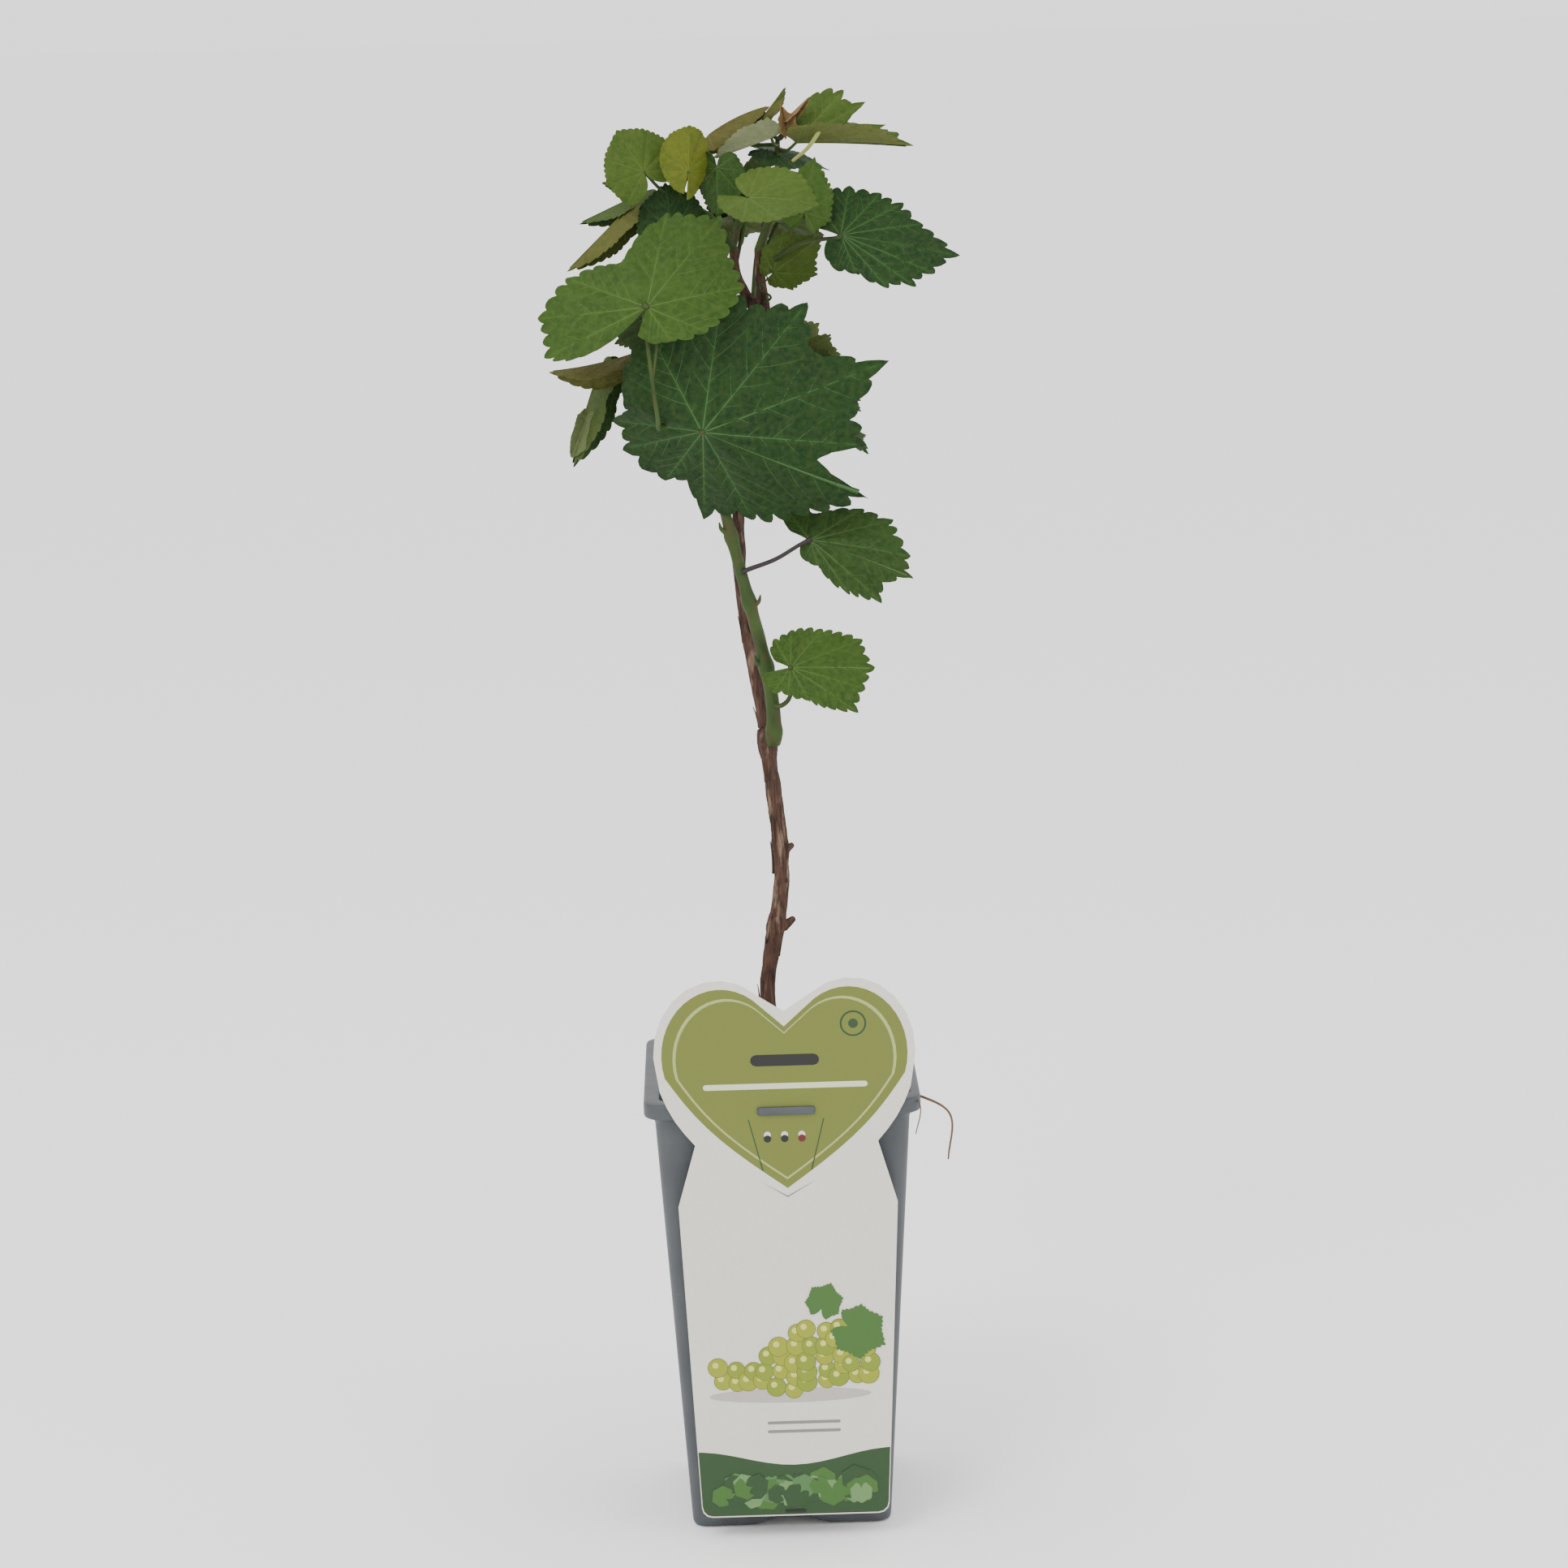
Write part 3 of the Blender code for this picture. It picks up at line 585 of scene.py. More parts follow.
def add_vein(shape, vein, leaf, lines, phase, ink):
    """A tapering raised rib on both faces of the blade."""
    line, wide, narrow = vein
    ahead = np.gradient(line, axis=0)
    ahead /= np.linalg.norm(ahead, axis=1)[:, None] + 1e-9
    side = np.stack([-ahead[:, 1], ahead[:, 0]], -1)
    width = (wide + (narrow - wide) * np.linspace(0, 1, len(line)) ** 0.8)[:, None]
    for face, bulk in ((1, 0.5), (-1, 0.9)):
        rows = []
        for across, lift in ((-1, 0), (-0.5, 0.7), (0, 1), (0.5, 0.7), (1, 0)):
            spot = line + side * width * across * 0.5
            height, _ = blade_height(spot[:, 0], spot[:, 1], lines, phase)
            rise = face * (RIB_FOOT / leaf["size"] + lift * bulk * width[:, 0] * 0.5)
            rows.append(place_blade(spot[:, 0], spot[:, 1], height + rise, leaf))
        shape.grid(rows, ink, flip=face < 0)


def make_leaf_group(node, leaves, paints):
    """All leaves that stand for one node, joined, with three inks for each kind of leaf."""
    shape = Shape()
    kinds = sorted({leaf["kind"] for leaf in leaves})
    for number, leaf in enumerate(leaves):
        add_blade(shape, leaf, 3 * kinds.index(leaf["kind"]), 1.3 * number + len(node))
    mats = [mat for kind in kinds for mat in paints[kind]]
    new_object(f"{node}_blades", shape, mats, [node])


# ---- stems and stalks
# Each limb in mm as in the CAD: its two ends, then its bows as (share of the way, offset).
STEM_LIMBS = {
    "woody_stem": ((0, 0, 163.3), (-1.5, 1, 301), (0.3, (-3.5, 0, 0)), (0.62, (3.5, 0, 0))),
    "upper_cane": ((-2, 3, 306), (-1.5, 1.5, 462), (0.45, (-9, 2, 0))),
    "green_shoot": ((1, -3.5, 304), (-20, 3, 438), (0.2, (2, -2, 0)), (0.7, (-3, -3, 0))),
    "left_top_stem": ((-3, 3, 468), (-9.5, 5, 489), (0.5, (-2, 0, 0))),
    "right_top_stem": ((1.5, -1, 466), (0, -2, 489), (0.5, (-0.5, -0.5, 0))),
}
FORK = (-1, 0.5, 305)     # where the upper cane and the green shoot leave the stem
CROWN = (-1, 1, 466)      # where the two top stems leave the upper cane
STALKS = {
    "centre_leaf_stalk": ((-20.5, -1, 433), (-24, -31, 428), (0.5, (-3, 0, 7))),
    "upper_left_leaf_stalk": ((-20, 2.5, 441.5), (-43, -43, 470), (0.5, (-5.5, -13, -28)),
                              (0.7, (-3.5, -12.5, -27.5))),
    "right_leaf_stalk": ((3.5, -3, 484), (28.5, -24.5, 494.5), (0.5, (0, -2, 3))),
    "middle_right_leaf_stalk": ((-6, -8, 370), (12, -6.5, 378), (0.5, (0, 0, -1))),
    "low_right_leaf_stalk": ((3.5, -9, 317), (8.5, -16, 328), (0.5, (1, 0, -2))),
    "left_leaf_stalk": ((-23.5, 2, 443), (-44, -22, 453), (0.5, (0, 2, 3))),
}
TOP_SHOOTS = (            # soft shoots that carry the crown on from the two top stems
    ((-9.5, 5, 489), (-30, -2, 509), (0.5, (1, 2, 3))),
    ((0, -2, 489), (8, 1, 530), (0.5, (3, 1, 0))),
)
# A thinner petiole that runs down beside the upper left leaf's, and a short pale one at the top.
SECOND_PETIOLE = ((-40.5, -42.5, 447), (-38.5, -40, 470), (0.5, (0.6, -1.5, 0)))
PALE_PETIOLE = ((13.3, -12, 522.5), (23.5, -14, 533.5), (0.5, (0.6, 0, -0.8)))
SMALL_LEAF_GROUPS = ("top_left_leaves", "far_left_leaves", "top_middle_leaves", "young_tip_leaves",
                     "top_right_leaves")
STEM_FOOT = (0, 0, 160.3)
TRUNK_RADIUS, ROOT_FLARE, FLARE_HEIGHT, STEM_LENGTH = 2.8, 1.7, 9, 141
STEM_SPURS = (((3, 0, 229), (6.6, -0.5, 232)), ((3.4, 0, 258.5), (6.8, 0, 261)))
# Swellings as share of the way, half width in that share, and extra radius.
STEM_KNOTS = ((0.48, 0.03, 0.8), (0.68, 0.022, 0.6), (0.96, 0.035, 1.1))
CANE_KNOTS = ((0.0, 0.03, 0.8), (0.45, 0.03, 0.6), (0.97, 0.03, 1.3))
SHOOT_KNOTS = [(share, 0.022, 0.7) for share in (0.06, 0.24, 0.42, 0.6, 0.8, 0.97)]
STALK_KNOTS = ((0, 0.08, 0.5), (1, 0.06, 0.3))


def bowed(start, end, *bows):
    """Points from a limb's start through its bows to its end."""
    start, end = np.array(start, float), np.array(end, float)
    return [start] + [start + (end - start) * share + np.array(offset) for share, offset in bows] + [end]


def joined(name, before, after=None):
    """A limb's route, carried on into the neighbours that it grows from and into."""
    route = [np.array(before, float)] + bowed(*(STEM_LIMBS.get(name) or STALKS[name]))
    return route + ([np.array(after, float)] if after else [])


def bark_relief(seed, depth):
    """Shreddy bark: long ridges that wander round the limb, crossed by short cracks."""
    def relief(angle, run):
        around = Vector((math.cos(angle), math.sin(angle), 0))
        ridge = noise.noise(around * 3.4 + Vector((seed, 0, run * 0.05)))
        fine = noise.noise(around * 8 + Vector((0, seed, run * 0.16)))
        crack = noise.noise(around * 1.5 + Vector((0, 0, run * 0.9 + seed)))
        return depth * (1.1 * abs(ridge) ** 0.7 + 0.4 * fine + 0.25 * min(crack, 0) - 0.3)
    return relief


def taper(low, high):
    return lambda share: low + (high - low) * share


def swollen(base, places):
    """Adds a swelling at each joint to a radius."""
    return lambda share: base(share) + sum(extra * math.exp(-((share - at) / half) ** 2)
                                           for at, half, extra in places)


def add_bark_strips(shape, way, radius, count, seed):
    """Loose ribbons of bark that lie along a limb and lift at their upper ends."""
    draw = random.Random(seed)
    route = smooth_route(way, 1.5)
    for _ in range(count):
        first = draw.randrange(2, len(route) - 14)
        length = draw.randrange(7, 13)
        angle = draw.uniform(0, 2 * math.pi)
        strip = []
        for step in range(length):
            lift = radius + 0.15 + 1.1 * (step / length) ** 3
            turn = angle + 0.03 * step
            strip.append(route[first + step] + lift * np.array([math.cos(turn), math.sin(turn), 0]))
        sweep(shape, strip[::2], taper(0.5, 0.16), 6, 1.5)


def make_woody_stem(bark):
    def trunk(share):
        return TRUNK_RADIUS + ROOT_FLARE * math.exp(-share * STEM_LENGTH / FLARE_HEIGHT)
    shape = Shape()
    stem = joined("woody_stem", STEM_FOOT, FORK)
    sweep(shape, stem, swollen(trunk, STEM_KNOTS), 40, 0.7, bark_relief(1, 0.8))
    for foot, end in STEM_SPURS:
        sweep(shape, [foot, end], taper(1.9, 1.1), 16, 0.6, bark_relief(foot[2], 0.5))
    add_bark_strips(shape, stem, 3.1, 16, 11)
    new_object("stem_bark", shape, [bark], ["woody_stem"])


def make_canes(bark):
    shape = Shape()
    cane = joined("upper_cane", FORK, CROWN)
    sweep(shape, cane, swollen(taper(2.4, 1.9), CANE_KNOTS), 28, 0.8, bark_relief(2, 0.55))
    add_bark_strips(shape, cane, 2.3, 8, 12)
    new_object("cane_bark", shape, [bark], ["upper_cane"])
    for name, low, high in (("left_top_stem", 2.1, 1.6), ("right_top_stem", 2.2, 1.8)):
        shape = Shape()
        sweep(shape, joined(name, CROWN), taper(low, high), 24, 0.7, bark_relief(low, 0.4))
        new_object(f"{name}_bark", shape, [bark], [name])


def make_green_shoot(green):
    """The shoot with a swelling at each joint, and a short spur above all but the lowest."""
    shape = Shape()
    way = joined("green_shoot", FORK)
    sweep(shape, way, swollen(taper(2.8, 1.7), SHOOT_KNOTS), 24, 0.9, bark_relief(5, 0.22))
    route = smooth_route(way, 1)
    for number, (share, _, _) in enumerate(SHOOT_KNOTS[1:]):
        spot = route[int(share * (len(route) - 1))]
        out = 1 if number % 2 else -1
        spur = [spot + (out * 1.4, -1, 0), spot + (out * 3.4, -1.6, 1.6), spot + (out * 4.0, -1.8, 3.8)]
        sweep(shape, spur, taper(1.3, 0.35), 12, 0.5)
    new_object("green_shoot_skin", shape, [green], ["green_shoot"])


def carrier_points():
    return np.concatenate([smooth_route(bowed(*way), 2) for way in STEM_LIMBS.values()])


def make_leaf_stalks(green, dark_stalk):
    """A stalk for each large leaf, from the nearest limb to the leaf's foot."""
    carriers = carrier_points()
    for name, way in STALKS.items():
        shape = Shape()
        is_dark = name == "middle_right_leaf_stalk"
        start = carriers[int(np.argmin(np.linalg.norm(carriers - np.array(way[0]), axis=1)))]
        foot = LEAVES["left_rolled_leaf" if name == "left_leaf_stalk" else name[:-len("_stalk")]][0]["foot"]
        sweep(shape, joined(name, tuple(start), foot), swollen(taper(0.95, 0.75), STALK_KNOTS), 14, 0.7,
              bark_relief(way[0][2], 0.1))
        new_object(f"{name}_skin", shape, [dark_stalk if is_dark else green],
                   [name])


def make_crown_petioles(green):
    """The two top shoots, a petiole from them to each small leaf, and a curling tendril."""
    shape = Shape()
    for way in TOP_SHOOTS:
        sweep(shape, bowed(*way), swollen(taper(1.9, 0.9), [(0.5, 0.05, 0.4)]), 14, 0.8)
    shoots = np.concatenate([smooth_route(bowed(*way), 2) for way in TOP_SHOOTS])
    for node in SMALL_LEAF_GROUPS:
        for leaf in LEAVES[node]:
            foot = np.array(leaf["foot"], float)
            above = np.maximum(shoots[:, 2] - foot[2] + 4, 0)
            start = shoots[int(np.argmin(np.linalg.norm(shoots - foot, axis=1) + 0.8 * above))]
            sweep(shape, bowed(start, foot, (0.5, (0, 0, -1.5))), taper(0.75, 0.55), 10, 0.8)
    hanging = LEAVES["left_hanging_leaf"][0]["foot"]
    sweep(shape, bowed((-44, -22, 453), hanging, (0.5, (0, 3, 1))), taper(0.7, 0.55), 10, 0.8)
    sweep(shape, bowed(*SECOND_PETIOLE), taper(0.6, 0.7), 10, 0.8)
    tendril = [(1.5 + 3 * math.sin(t) * math.exp(-t / 9), -5 - 0.5 * t, 470 + 1.2 * t)
               for t in np.arange(0, 11, 0.7)]
    sweep(shape, tendril, taper(0.5, 0.25), 8, 0.7)
    new_object("crown_petioles", shape, [green])
    shape = Shape()
    sweep(shape, bowed(*PALE_PETIOLE), taper(0.6, 0.85), 12, 0.7)
    new_object("pale_petiole", shape, [plain_paint("pale_petiole", srgb(136, 144, 70))])


# ---- leaves of the crown's back
BACK_LEAVES = {"back_left_leaves": (6, 21), "back_right_leaves": (6, 22), "back_top_leaves": (6, 23)}


def grow_back_leaves(node, count, seed):
    """Leaves set round a back mass by a seeded rule: they face away from the stem and droop."""
    draw = random.Random(seed)
    low, high = (np.array(corner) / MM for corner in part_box(node))
    centre, half = (low + high) / 2, (high - low) / 2
    leaves = []
    for number in range(count):
        swing = math.radians(-75 + 150 * (number + 0.5) / count + draw.uniform(-12, 12))
        level = -0.6 + 1.3 * (number * 5 % count) / count + draw.uniform(-0.1, 0.2)
        out = np.array([math.sin(swing), math.cos(swing), 0])
        foot = centre + half * np.array([0.35 * out[0], 0.25 * out[1] - 0.3, level])
        tip = out * draw.uniform(0.5, 0.9) + np.array([draw.uniform(-0.6, 0.6), 0, draw.uniform(-0.9, -0.3)])
        leaves.append(new_leaf(tuple(foot), tuple(tip), tuple(out + np.array([0, 0, 0.5])),
                               draw.uniform(19, 25), draw.choice(("dark", "mid", "bright")),
                               fold=draw.uniform(-20, 10), bend=draw.uniform(-30, 0), lobed=0.7))
    return leaves


def make_back_petioles(groups, green):
    shape = Shape()
    carriers = carrier_points()
    for leaves in groups:
        for number, leaf in enumerate(leaves):
            foot = np.array(leaf["foot"])
            aim = foot - (0, 0, 6 + 7 * number)
            below = carriers[carriers[:, 2] < foot[2] - 4]
            start = below[int(np.argmin(np.linalg.norm(below - aim, axis=1)))]
            sweep(shape, bowed(start, foot, (0.5, (2 - number, 1, 3))), taper(0.9, 0.7), 10, 0.9)
    new_object("back_petioles", shape, [green])


# ---- pot and soil
ARCH = (12, 3.5, 12)      # half width, height and depth of the opening between two feet
LIP = 6                   # height of the pot's lip
WALL = 2.2
POT_FOOT, UNDER_LIP = 38.5, 48.5    # half widths at the foot and under the lip
LUG_HEIGHT = 170.4        # of the lug that stands out on the lip's front
CRUMBS = 1100


def square_ring(half, radius, z, arc_steps=7, side_steps=18):
    """Points round a square with round corners, anticlockwise."""
    points = []
    for corner in range(4):
        start = corner * math.pi / 2
        centre = (half - radius) * math.sqrt(2) * heading_to(start + math.pi / 4)
        for i in range(arc_steps + 1):
            points.append(centre + radius * heading_to(start + math.pi / 2 * i / arc_steps))
        end = points[-1]
        along = np.array([-math.sin(start + math.pi / 2), math.cos(start + math.pi / 2)])
        for i in range(1, side_steps):
            points.append(end + along * 2 * (half - radius) * i / side_steps)
    return np.array([(x, y, z) for x, y in points])


def over_arches(ring):
    """Lifts the low points between the feet up to the arch."""
    reach = np.max(np.abs(ring[:, :2]), axis=1)
    along = np.min(np.abs(ring[:, :2]), axis=1)
    lift = ARCH[1] * np.clip((ARCH[0] - along) / 3, 0, 1)
    lift[reach < POT_FOOT - ARCH[2]] = 0
    ring[:, 2] = np.maximum(ring[:, 2], lift)
    return ring


def make_pot(plastic):
    low, high = (np.array(corner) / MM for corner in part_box("pot"))
    top, rim = high[2], high[0]
    wall_top = top - LIP

    def wall(z):
        return POT_FOOT + (UNDER_LIP - POT_FOOT) * z / wall_top
    profile = [(0.5, 0, 0.2)] + [(h, 0, min(5, h * 0.3)) for h in (12, 25, 26.2, 26.8, 32, POT_FOOT - 1.2)]
    profile += [(POT_FOOT - 0.3, 0.3, 5.6), (POT_FOOT, 1.1, 6)]
    profile += [(wall(z), z, 6) for z in (2, 3, 4, 6, 12, 40, 80, 120, 150, 160)]
    profile += [(wall(wall_top - 3), wall_top - 3, 6), (wall(wall_top - 1) + 0.6, wall_top - 1, 6.3)]
    profile += [(rim - 1.2, wall_top - 0.2, 7.4), (rim - 0.3, wall_top + 0.3, 7.8), (rim, wall_top + 1, 8)]
    profile += [(rim, top - 1, 8), (rim - 0.3, top - 0.3, 7.8), (rim - 1, top, 7.4)]
    profile += [(UNDER_LIP - WALL + 1.2, top, 6.4), (UNDER_LIP - WALL + 0.4, top - 0.3, 6)]
    profile += [(wall(z) - WALL, z, 5) for z in (top - 1.2, wall_top, 140, 100, 50, 8, 4.5)]
    profile += [(0.5, 4.5, 0.2)]
    shape = Shape()
    shape.grid([over_arches(square_ring(h, r, z)) if z < ARCH[1] else square_ring(h, r, z)
                for h, z, r in profile], closed=True)
    lug = square_ring(1, 0.25, 0, 4, 2)
    rows = [np.stack([1.3 + 11 * share * lug[:, 0], np.full(len(lug), -rim + 0.5 - 3.5 * out),
                      LUG_HEIGHT + 1.6 * share * lug[:, 1]], -1)
            for out, share in ((0, 1), (0.5, 1), (0.9, 0.98), (1.0, 0.86), (1.0, 0.02))]
    shape.grid(rows, closed=True, flip=True)
    new_object("pot_shell", shape, [plastic], ["pot"])


def make_soil(paints):
    low, high = (np.array(corner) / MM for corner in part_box("potting_soil"))
    half, top = high[0] - 0.3, high[2] - 1.2
    shape = Shape()
    rows = [square_ring(0.5, 0.2, low[2] + 0.2), square_ring(half * 0.8, 5, low[2] + 0.2)]
    rows += [square_ring(half * share, 5, z) for share, z in ((0.82, 8), (0.99, top - 3))]
    for share in np.linspace(1, 0.02, 34):
        ring = square_ring(half * share, 5 * share, top)
        for point in ring:
            point[2] += 1.1 * noise.noise(Vector(point) * 0.16) + 0.7 * noise.noise(Vector(point) * 0.6)
        rows.append(ring)
    shape.grid(rows, closed=True)
    draw = random.Random(31)
    ball = bmesh.new()
    bmesh.ops.create_icosphere(ball, subdivisions=1, radius=1)
    corners = np.array([v.co for v in ball.verts])
    faces = [tuple(v.index for v in face.verts) for face in ball.faces]
    ball.free()
    for _ in range(CRUMBS):
        x, y = draw.uniform(-1, 1) * (half - 2), draw.uniform(-1, 1) * (half - 2)
        size = draw.uniform(0.4, 1.5) ** 1.4
        stretch = np.array([draw.uniform(0.6, 1.6), draw.uniform(0.6, 1.3), draw.uniform(0.4, 0.8)])
        bumps = 1 + 0.25 * np.sin(corners @ np.array([5.1, 3.7, 4.3]) + draw.uniform(0, 6))
        turn = draw.uniform(0, math.pi)
        spin = np.array([[math.cos(turn), -math.sin(turn), 0], [math.sin(turn), math.cos(turn), 0],
                         [0, 0, 1]])
        lump = (corners * bumps[:, None] * stretch * size) @ spin.T
        shape.add(lump + (x, y, top + 0.3), faces, draw.choice((0, 0, 1, 1, 2)))
    new_object("soil_crumbs", shape, paints, ["potting_soil"])
    root = Shape()
    for start, end, bow, width in (((46, -34, 172), (63, -38, 145), (9, -3, 5), 0.55),
                                   ((48, -38, 173.5), (50, -55, 160), (3, -6, 3), 0.35)):
        sweep(root, bowed(start, end, (0.5, bow)), taper(width, width * 0.6), 10, 0.8,
              bark_relief(width, 0.12))
    new_object("dry_root", root, [paints[2]])


# ---- print on the label card
CARD_FRONT = -54.1
CARD_MIDDLE = 1.2
INK = 0.06                # thickness of a printed layer
STRIP_TOP, STRIP_LEAVES = 36, 52
HEART_NOTCH, HEART_MIDDLE, HEART_TIP = 203, 178, 140


class Print(Shape):
    """Thin closed plates of ink on the card, each in a named ink of LABEL_INKS."""

    def plate(self, outline, layer, ink):
        """A plate in the card's plane from points (x, z); layer counts outward."""
        outline = np.array(outline, float)
        ahead = np.roll(outline, -1, axis=0)
        if (outline[:, 0] * ahead[:, 1] - ahead[:, 0] * outline[:, 1]).sum() < 0:
            outline = outline[::-1]
        count = len(outline)
        back, front = CARD_FRONT + 0.02, CARD_FRONT - INK * (layer + 1)
        points = [(x + CARD_MIDDLE, y, z) for y in (front, back) for x, z in outline]
        faces = [tuple(range(count)), tuple(range(2 * count - 1, count - 1, -1))]
        faces += [((i + 1) % count, i, i + count, (i + 1) % count + count) for i in range(count)]
        self.add(points, faces, list(LABEL_INKS).index(ink))


def heart(scale):
    """The printed heart: two round lobes, a notch, and sides that bulge a little to its tip."""
    right = [(0, HEART_NOTCH)]
    for i in range(17):
        turn = math.radians(124 - 142 * i / 16)
        right.append((24 + 22.3 * math.cos(turn), 192 + 25.8 * math.sin(turn)))
    side = right[-1]
    for i in range(1, 9):
        t = i / 9
        right.append((side[0] * (1 - t) + 5 * math.sin(math.pi * t),
                      side[1] + (HEART_TIP - side[1]) * t))
    whole = right + [(0, HEART_TIP)] + [(-x, z) for x, z in reversed(right[1:])]
    return [(x * scale, HEART_MIDDLE + (z - HEART_MIDDLE) * scale) for x, z in whole]


def bar(x, z, half_wide, half_high, steps=5):
    """A plain bar with round ends."""
    ends = []
    for sign, start in ((1, -90), (-1, 90)):
        for i in range(steps + 1):
            turn = math.radians(start + 180 * i / steps)
            ends.append((x + sign * (half_wide - half_high) + half_high * math.cos(turn),
                         z + half_high * math.sin(turn)))
    return ends


def disc(x, z, radius, steps=20):
    return [(x + radius * math.cos(2 * math.pi * i / steps), z + radius * math.sin(2 * math.pi * i / steps))
            for i in range(steps)]


def leaf_print(x, z, size, turn, **values):
    angle, _, reach = blade_outline(dict(values))
    return [(x + size * r * math.cos(a + turn), z + size * r * math.sin(a + turn))
            for a, r in zip(angle, reach)]


def print_bunch(card):
    """A plain bunch of round grapes lying on its side, with its shadow, twig and two leaves."""
    card.plate([(x * 31 - 1, 58 + z * 3) for x, z in disc(0, 0, 1, 28)], 0, "shadow")
    draw = random.Random(42)
    layer = 1.0
    for column in range(11):
        x = -27 + 5.6 * column
        low = 58 + 0.9 * abs(column - 5)
        count = max(2, round(5.4 - 0.18 * (column - 6.5) ** 2))
        for row in range(count):
            layer += 0.08
            spot = (x + draw.uniform(-1.9, 1.9), low + 3 + row * 5.2 + draw.uniform(-1.4, 1.4))
            radius = draw.uniform(3.1, 3.9)
            card.plate(disc(*spot, radius + 0.25, 18), layer, "grape_edge")
            card.plate(disc(*spot, radius, 18), layer + 0.02,
                       draw.choice(("grape", "grape_green")))
            card.plate(disc(spot[0] - 0.9, spot[1] + 1, 1.2, 12), layer + 0.04, "grape_light")
    card.plate(bar(29, 88, 5, 0.5), 1, "twig")
    card.plate(leaf_print(12, 93, 9.5, 1.2, lobed=0.6), layer + 0.5, "leaf")
    card.plate(leaf_print(23, 84, 14, -0.5, lobed=0.6), layer + 0.7, "leaf")


def print_foot_strip(card):
    """Foliage along the card's foot under a shallow curve."""
    half = 36 + 5.5 * (STRIP_TOP - 13.5) / 120
    curve = [(x, STRIP_TOP - 6 * math.cos(x * math.pi / 76) ** 2) for x in range(-35, 36, 5)]
    top = [(-half + 0.3, STRIP_TOP)] + curve + [(half - 0.3, STRIP_TOP)]
    corner = [(36 - 0.3 - 4 + 4 * math.cos(t), 14 + 4 * math.sin(t)) for t in np.radians((0, -30, -60, -90))]
    card.plate(top + corner + [(-x, z) for x, z in reversed(corner)], 0, "dark_leaf")
    draw = random.Random(41)
    for number in range(STRIP_LEAVES):
        size = draw.uniform(4.5, 7)
        outline = leaf_print(draw.uniform(-28, 28), draw.uniform(17.2, 22.8), size, draw.uniform(0, 6),
                             shoulder=0.95, lobed=0.4, teeth=0.05)
        ink = draw.choice(("leaf", "strip_leaf", "dark_leaf", "pale_leaf"))
        card.plate(outline, 1 + 0.08 * number, ink)
    card.plate(bar(0, 11.4, 4, 0.5), 6, "black")


def make_label_print():
    """Plain generic shapes where the card is printed."""
    card = Print()
    for scale, layer, ink in ((1, 0, "green"), (0.91, 1, "pale_green"), (0.885, 2, "green")):
        card.plate(heart(scale), layer, ink)
    for side in (-1, 1):
        card.plate([(side * x, z) for x, z in ((14, 167), (14.4, 167), (9.4, 147), (9, 147))], 3, "dark_leaf")
        card.plate([(side * x, z) for x, z in ((10, 142.5), (9, 142), (0, 136.4), (0, 137))], 0, "grey")
    for x, ink in ((-7.2, "black"), (-0.7, "black"), (5.8, "red")):
        card.plate(disc(x, 161, 1.3), 3, "card")
        card.plate(disc(x, 159.5, 1.4), 4, ink)
    card.plate(bar(0, 190, 13, 2.2), 3, "black")
    card.plate(bar(0, 180, 31, 1.1), 3, "pale_card")
    card.plate(disc(26, 203.5, 5), 3, "dark_leaf")
    card.plate(disc(26, 203.5, 4.3), 4, "green")
    card.plate(disc(26, 203.5, 1.8), 5, "dark_leaf")
    for z in (47, 43.5):
        card.plate(bar(4, z, 14, 0.6), 0, "grey")
    print_foot_strip(card)
    print_bunch(card)
    return card


LABEL_INKS = {
    "card": (206, 200, 190), "pale_card": (196, 200, 168), "green": (98, 106, 40),
    "pale_green": (150, 158, 96), "black": (28, 28, 26), "red": (90, 22, 26),
    "grey": (116, 114, 110), "shadow": (168, 162, 154), "leaf": (56, 92, 36),
    "strip_leaf": (66, 104, 58), "dark_leaf": (36, 62, 30), "pale_leaf": (92, 124, 74),
    "twig": (88, 66, 50), "grape": (134, 140, 30), "grape_green": (116, 130, 30),
    "grape_edge": (92, 100, 24), "grape_light": (186, 190, 96),
}


def make_label():
    paints = [plain_paint(f"label_{name}", srgb(*colour), 0.5, 900, 0.06, 0.05)
              for name, colour in LABEL_INKS.items()]
    new_object("label_print", make_label_print(), paints, smooth=False)
    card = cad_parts["label"]
    for slot in card.material_slots:
        slot.material = paints[0]


def bark_paint():
    """Reddish brown vine bark with pale grey weathered ridges."""
    paint = Paint("vine_bark", 0.9, 0.2)
    long_grain = paint.ramp(paint.noise(900, 5, (1, 1, 0.12)), 0.35, 0.7)
    colour = paint.blend(long_grain, srgb(44, 32, 28), srgb(86, 62, 50))
    weathered = paint.ramp(paint.noise(260, 4, (1, 1, 0.25)), 0.56, 0.74)
    paint.colour(paint.blend(weathered, colour, srgb(128, 106, 90)))
    paint.bump(paint.noise(1100, 4, (1, 1, 0.15)), 0.7, 0.0006)
    paint.roughness(paint.noise(300), 0.78, 0.98)
    return paint.mat


def shoot_paint():
    """Green young wood, flushed red-brown in streaks."""
    paint = Paint("green_shoot", 0.6, 0.2)
    streaks = paint.ramp(paint.noise(420, 3, (1, 1, 0.2)), 0.5, 0.78)
    body = paint.blend(paint.ramp(paint.noise(90), 0.3, 0.7), srgb(36, 54, 20), srgb(54, 72, 28))
    paint.colour(paint.blend(streaks, body, srgb(70, 52, 32)))
    paint.bump(paint.noise(800, 3, (1, 1, 0.2)), 0.35, 0.0004)
    return paint.mat


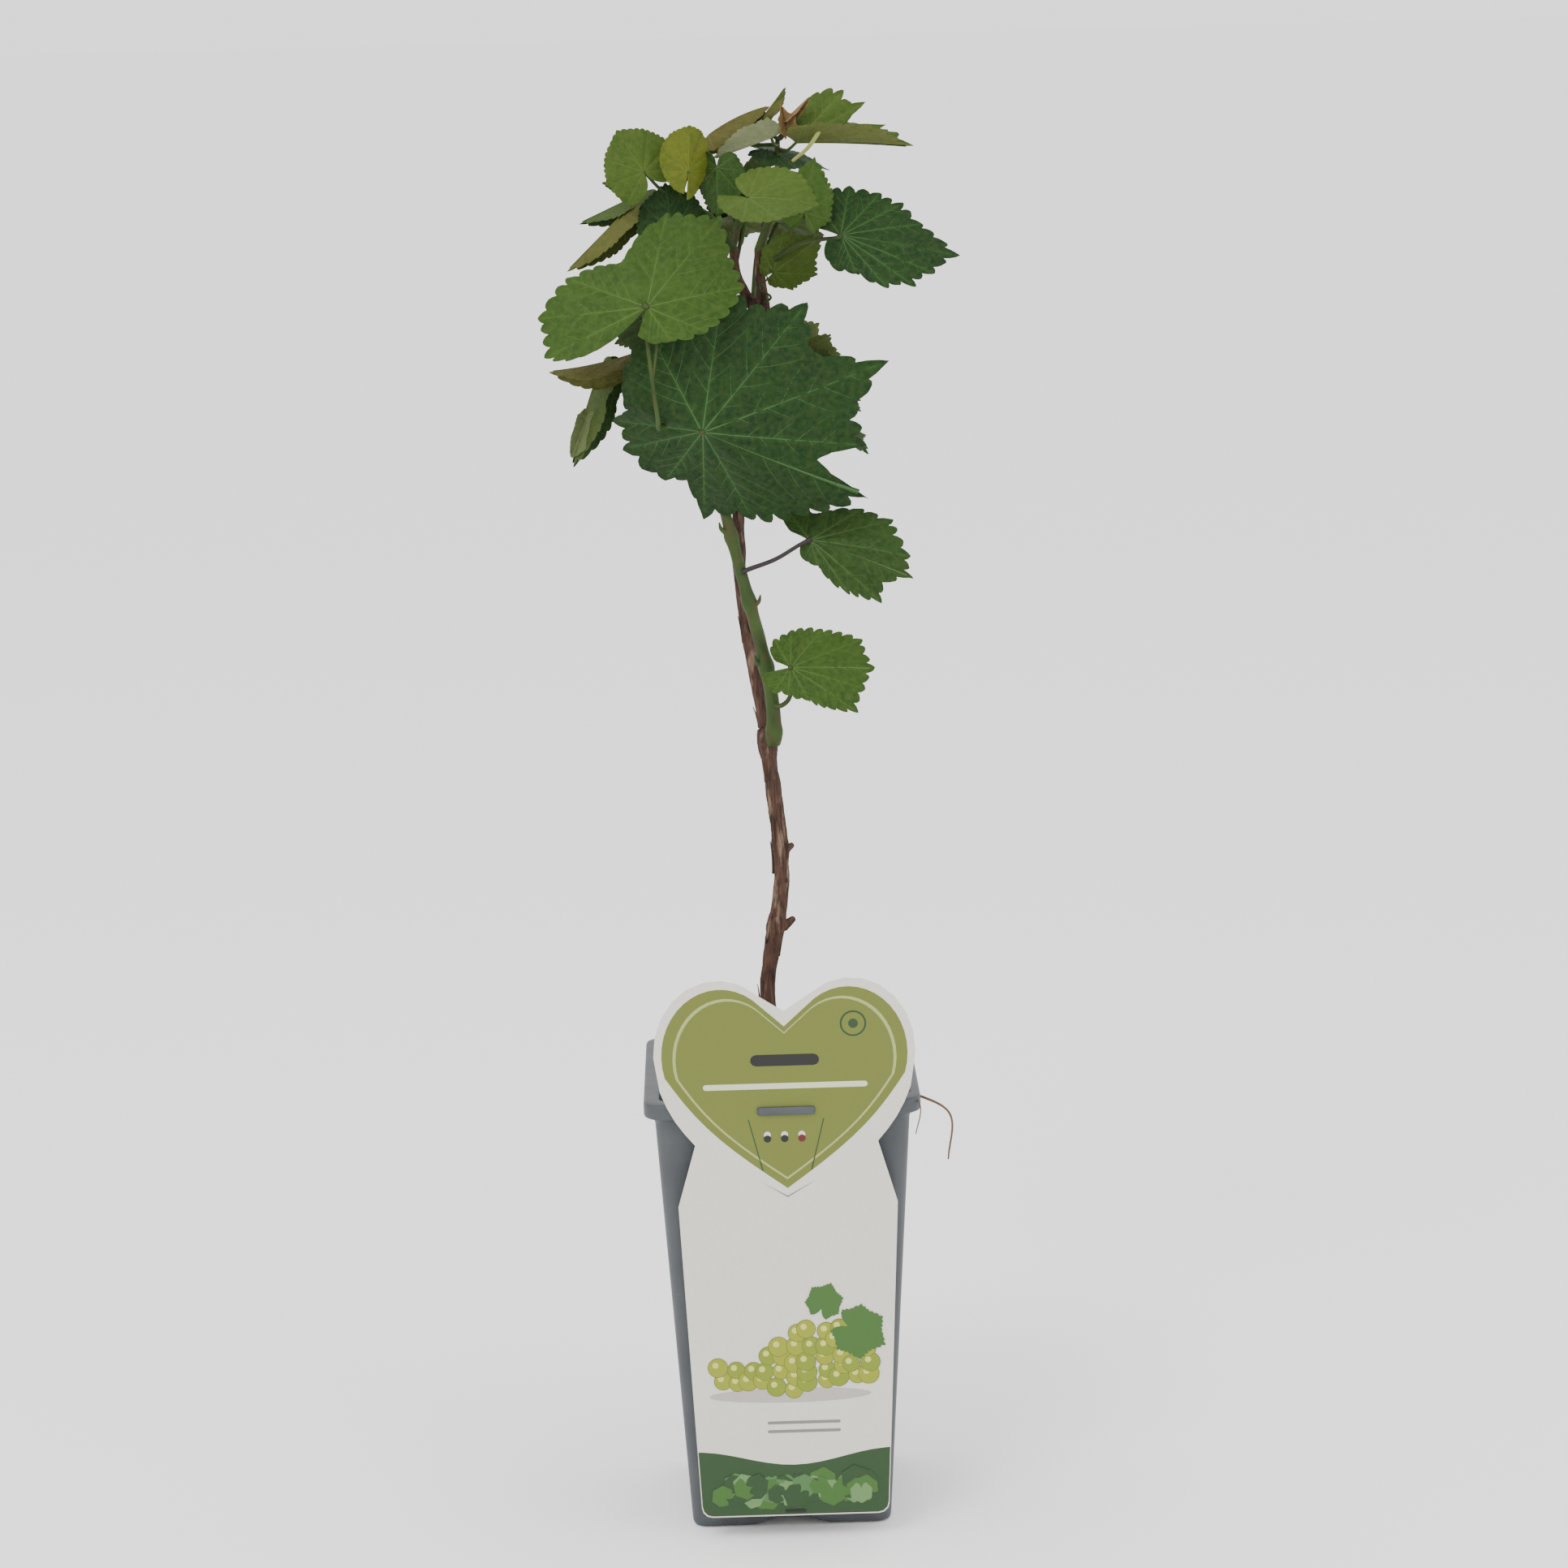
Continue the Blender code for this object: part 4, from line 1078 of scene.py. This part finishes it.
def plastic_paint():
    """Slate-grey moulded plastic with faint scuffs."""
    paint = Paint("pot_plastic", 0.5, 0.4)
    mottle = paint.ramp(paint.noise(60, 5), 0.3, 0.7)
    colour = paint.blend(mottle, srgb(56, 60, 63), srgb(66, 70, 73))
    scuffs = paint.ramp(paint.noise(300, 4, (0.15, 0.15, 1)), 0.68, 0.8)
    paint.colour(paint.blend(scuffs, colour, srgb(84, 88, 90)))
    paint.bump(paint.noise(1500, 3), 0.18, 0.0002)
    paint.roughness(paint.noise(120), 0.4, 0.62)
    return paint.mat


# ---- stage
LENS = 97.5
CAMERA_PLACE, CAMERA_TARGET = Vector((-0.020, -1.600, 0.598)), Vector((0.0044, 0, 0.285))
CAMERA_ROLL = -1.43
FLOOR_WHITE, SKY_STRENGTH = 0.97, 1.7


def facing(place, target):
    """The rotation that points a camera or light at a place towards its target."""
    return (Vector(target) - Vector(place)).to_track_quat("-Z", "Y")


def make_camera():
    camera = bpy.data.objects.new("camera", bpy.data.cameras.new("camera"))
    camera.data.sensor_width = 36
    camera.data.lens = LENS
    camera.location = CAMERA_PLACE
    roll = Matrix.Rotation(math.radians(CAMERA_ROLL), 3, "Z")
    camera.rotation_euler = (facing(CAMERA_PLACE, CAMERA_TARGET).to_matrix() @ roll).to_euler()
    bpy.context.scene.collection.objects.link(camera)
    bpy.context.scene.camera = camera


def add_light(name, place, target, size, power):
    light = bpy.data.lights.new(name, "AREA")
    light.shape = "DISK"
    light.size = size
    light.energy = power
    item = bpy.data.objects.new(name, light)
    item.location = place
    item.rotation_euler = facing(place, target).to_euler()
    bpy.context.scene.collection.objects.link(item)


def make_stage():
    floor_paint = Paint("pale_floor", 0.8, 0.2)
    floor_paint.shader.inputs["Base Color"].default_value = (FLOOR_WHITE, FLOOR_WHITE, FLOOR_WHITE, 1)
    bpy.ops.mesh.primitive_plane_add(size=60, location=(0, 0, -0.0005))
    floor = bpy.context.object
    floor.name = "floor"
    floor.data.materials.append(floor_paint.mat)
    world = bpy.data.worlds.new("studio")
    bpy.context.scene.world = world
    world.use_nodes = True
    sky = world.node_tree.nodes["Background"]
    sky.inputs["Color"].default_value = (1, 1, 1, 1)
    sky.inputs["Strength"].default_value = SKY_STRENGTH
    add_light("key", (-0.9, -1.5, 1.9), (0, 0, 0.3), 1.0, 28)
    add_light("fill", (1.4, -1.2, 0.9), (0, 0, 0.3), 1.2, 8)


def main():
    paints = make_paints()
    bark, green = bark_paint(), shoot_paint()
    grown = {node: grow_back_leaves(node, *rule) for node, rule in BACK_LEAVES.items()}
    for node, leaves in {**LEAVES, **grown}.items():
        make_leaf_group(node, leaves, paints)
    make_woody_stem(bark)
    make_canes(bark)
    make_green_shoot(green)
    make_leaf_stalks(green, plain_paint("dark_stalk", srgb(36, 30, 28)))
    make_crown_petioles(green)
    make_back_petioles(grown.values(), green)
    make_pot(plastic_paint())
    make_soil([plain_paint("soil", srgb(66, 50, 40), 0.95, 600, 0.4, 0.6),
               plain_paint("dark_soil", srgb(44, 33, 27), 0.95, 600, 0.4, 0.6),
               plain_paint("soil_fibre", srgb(104, 80, 60), 0.9, 600, 0.3, 0.5)])
    make_label()
    make_camera()
    make_stage()


main()
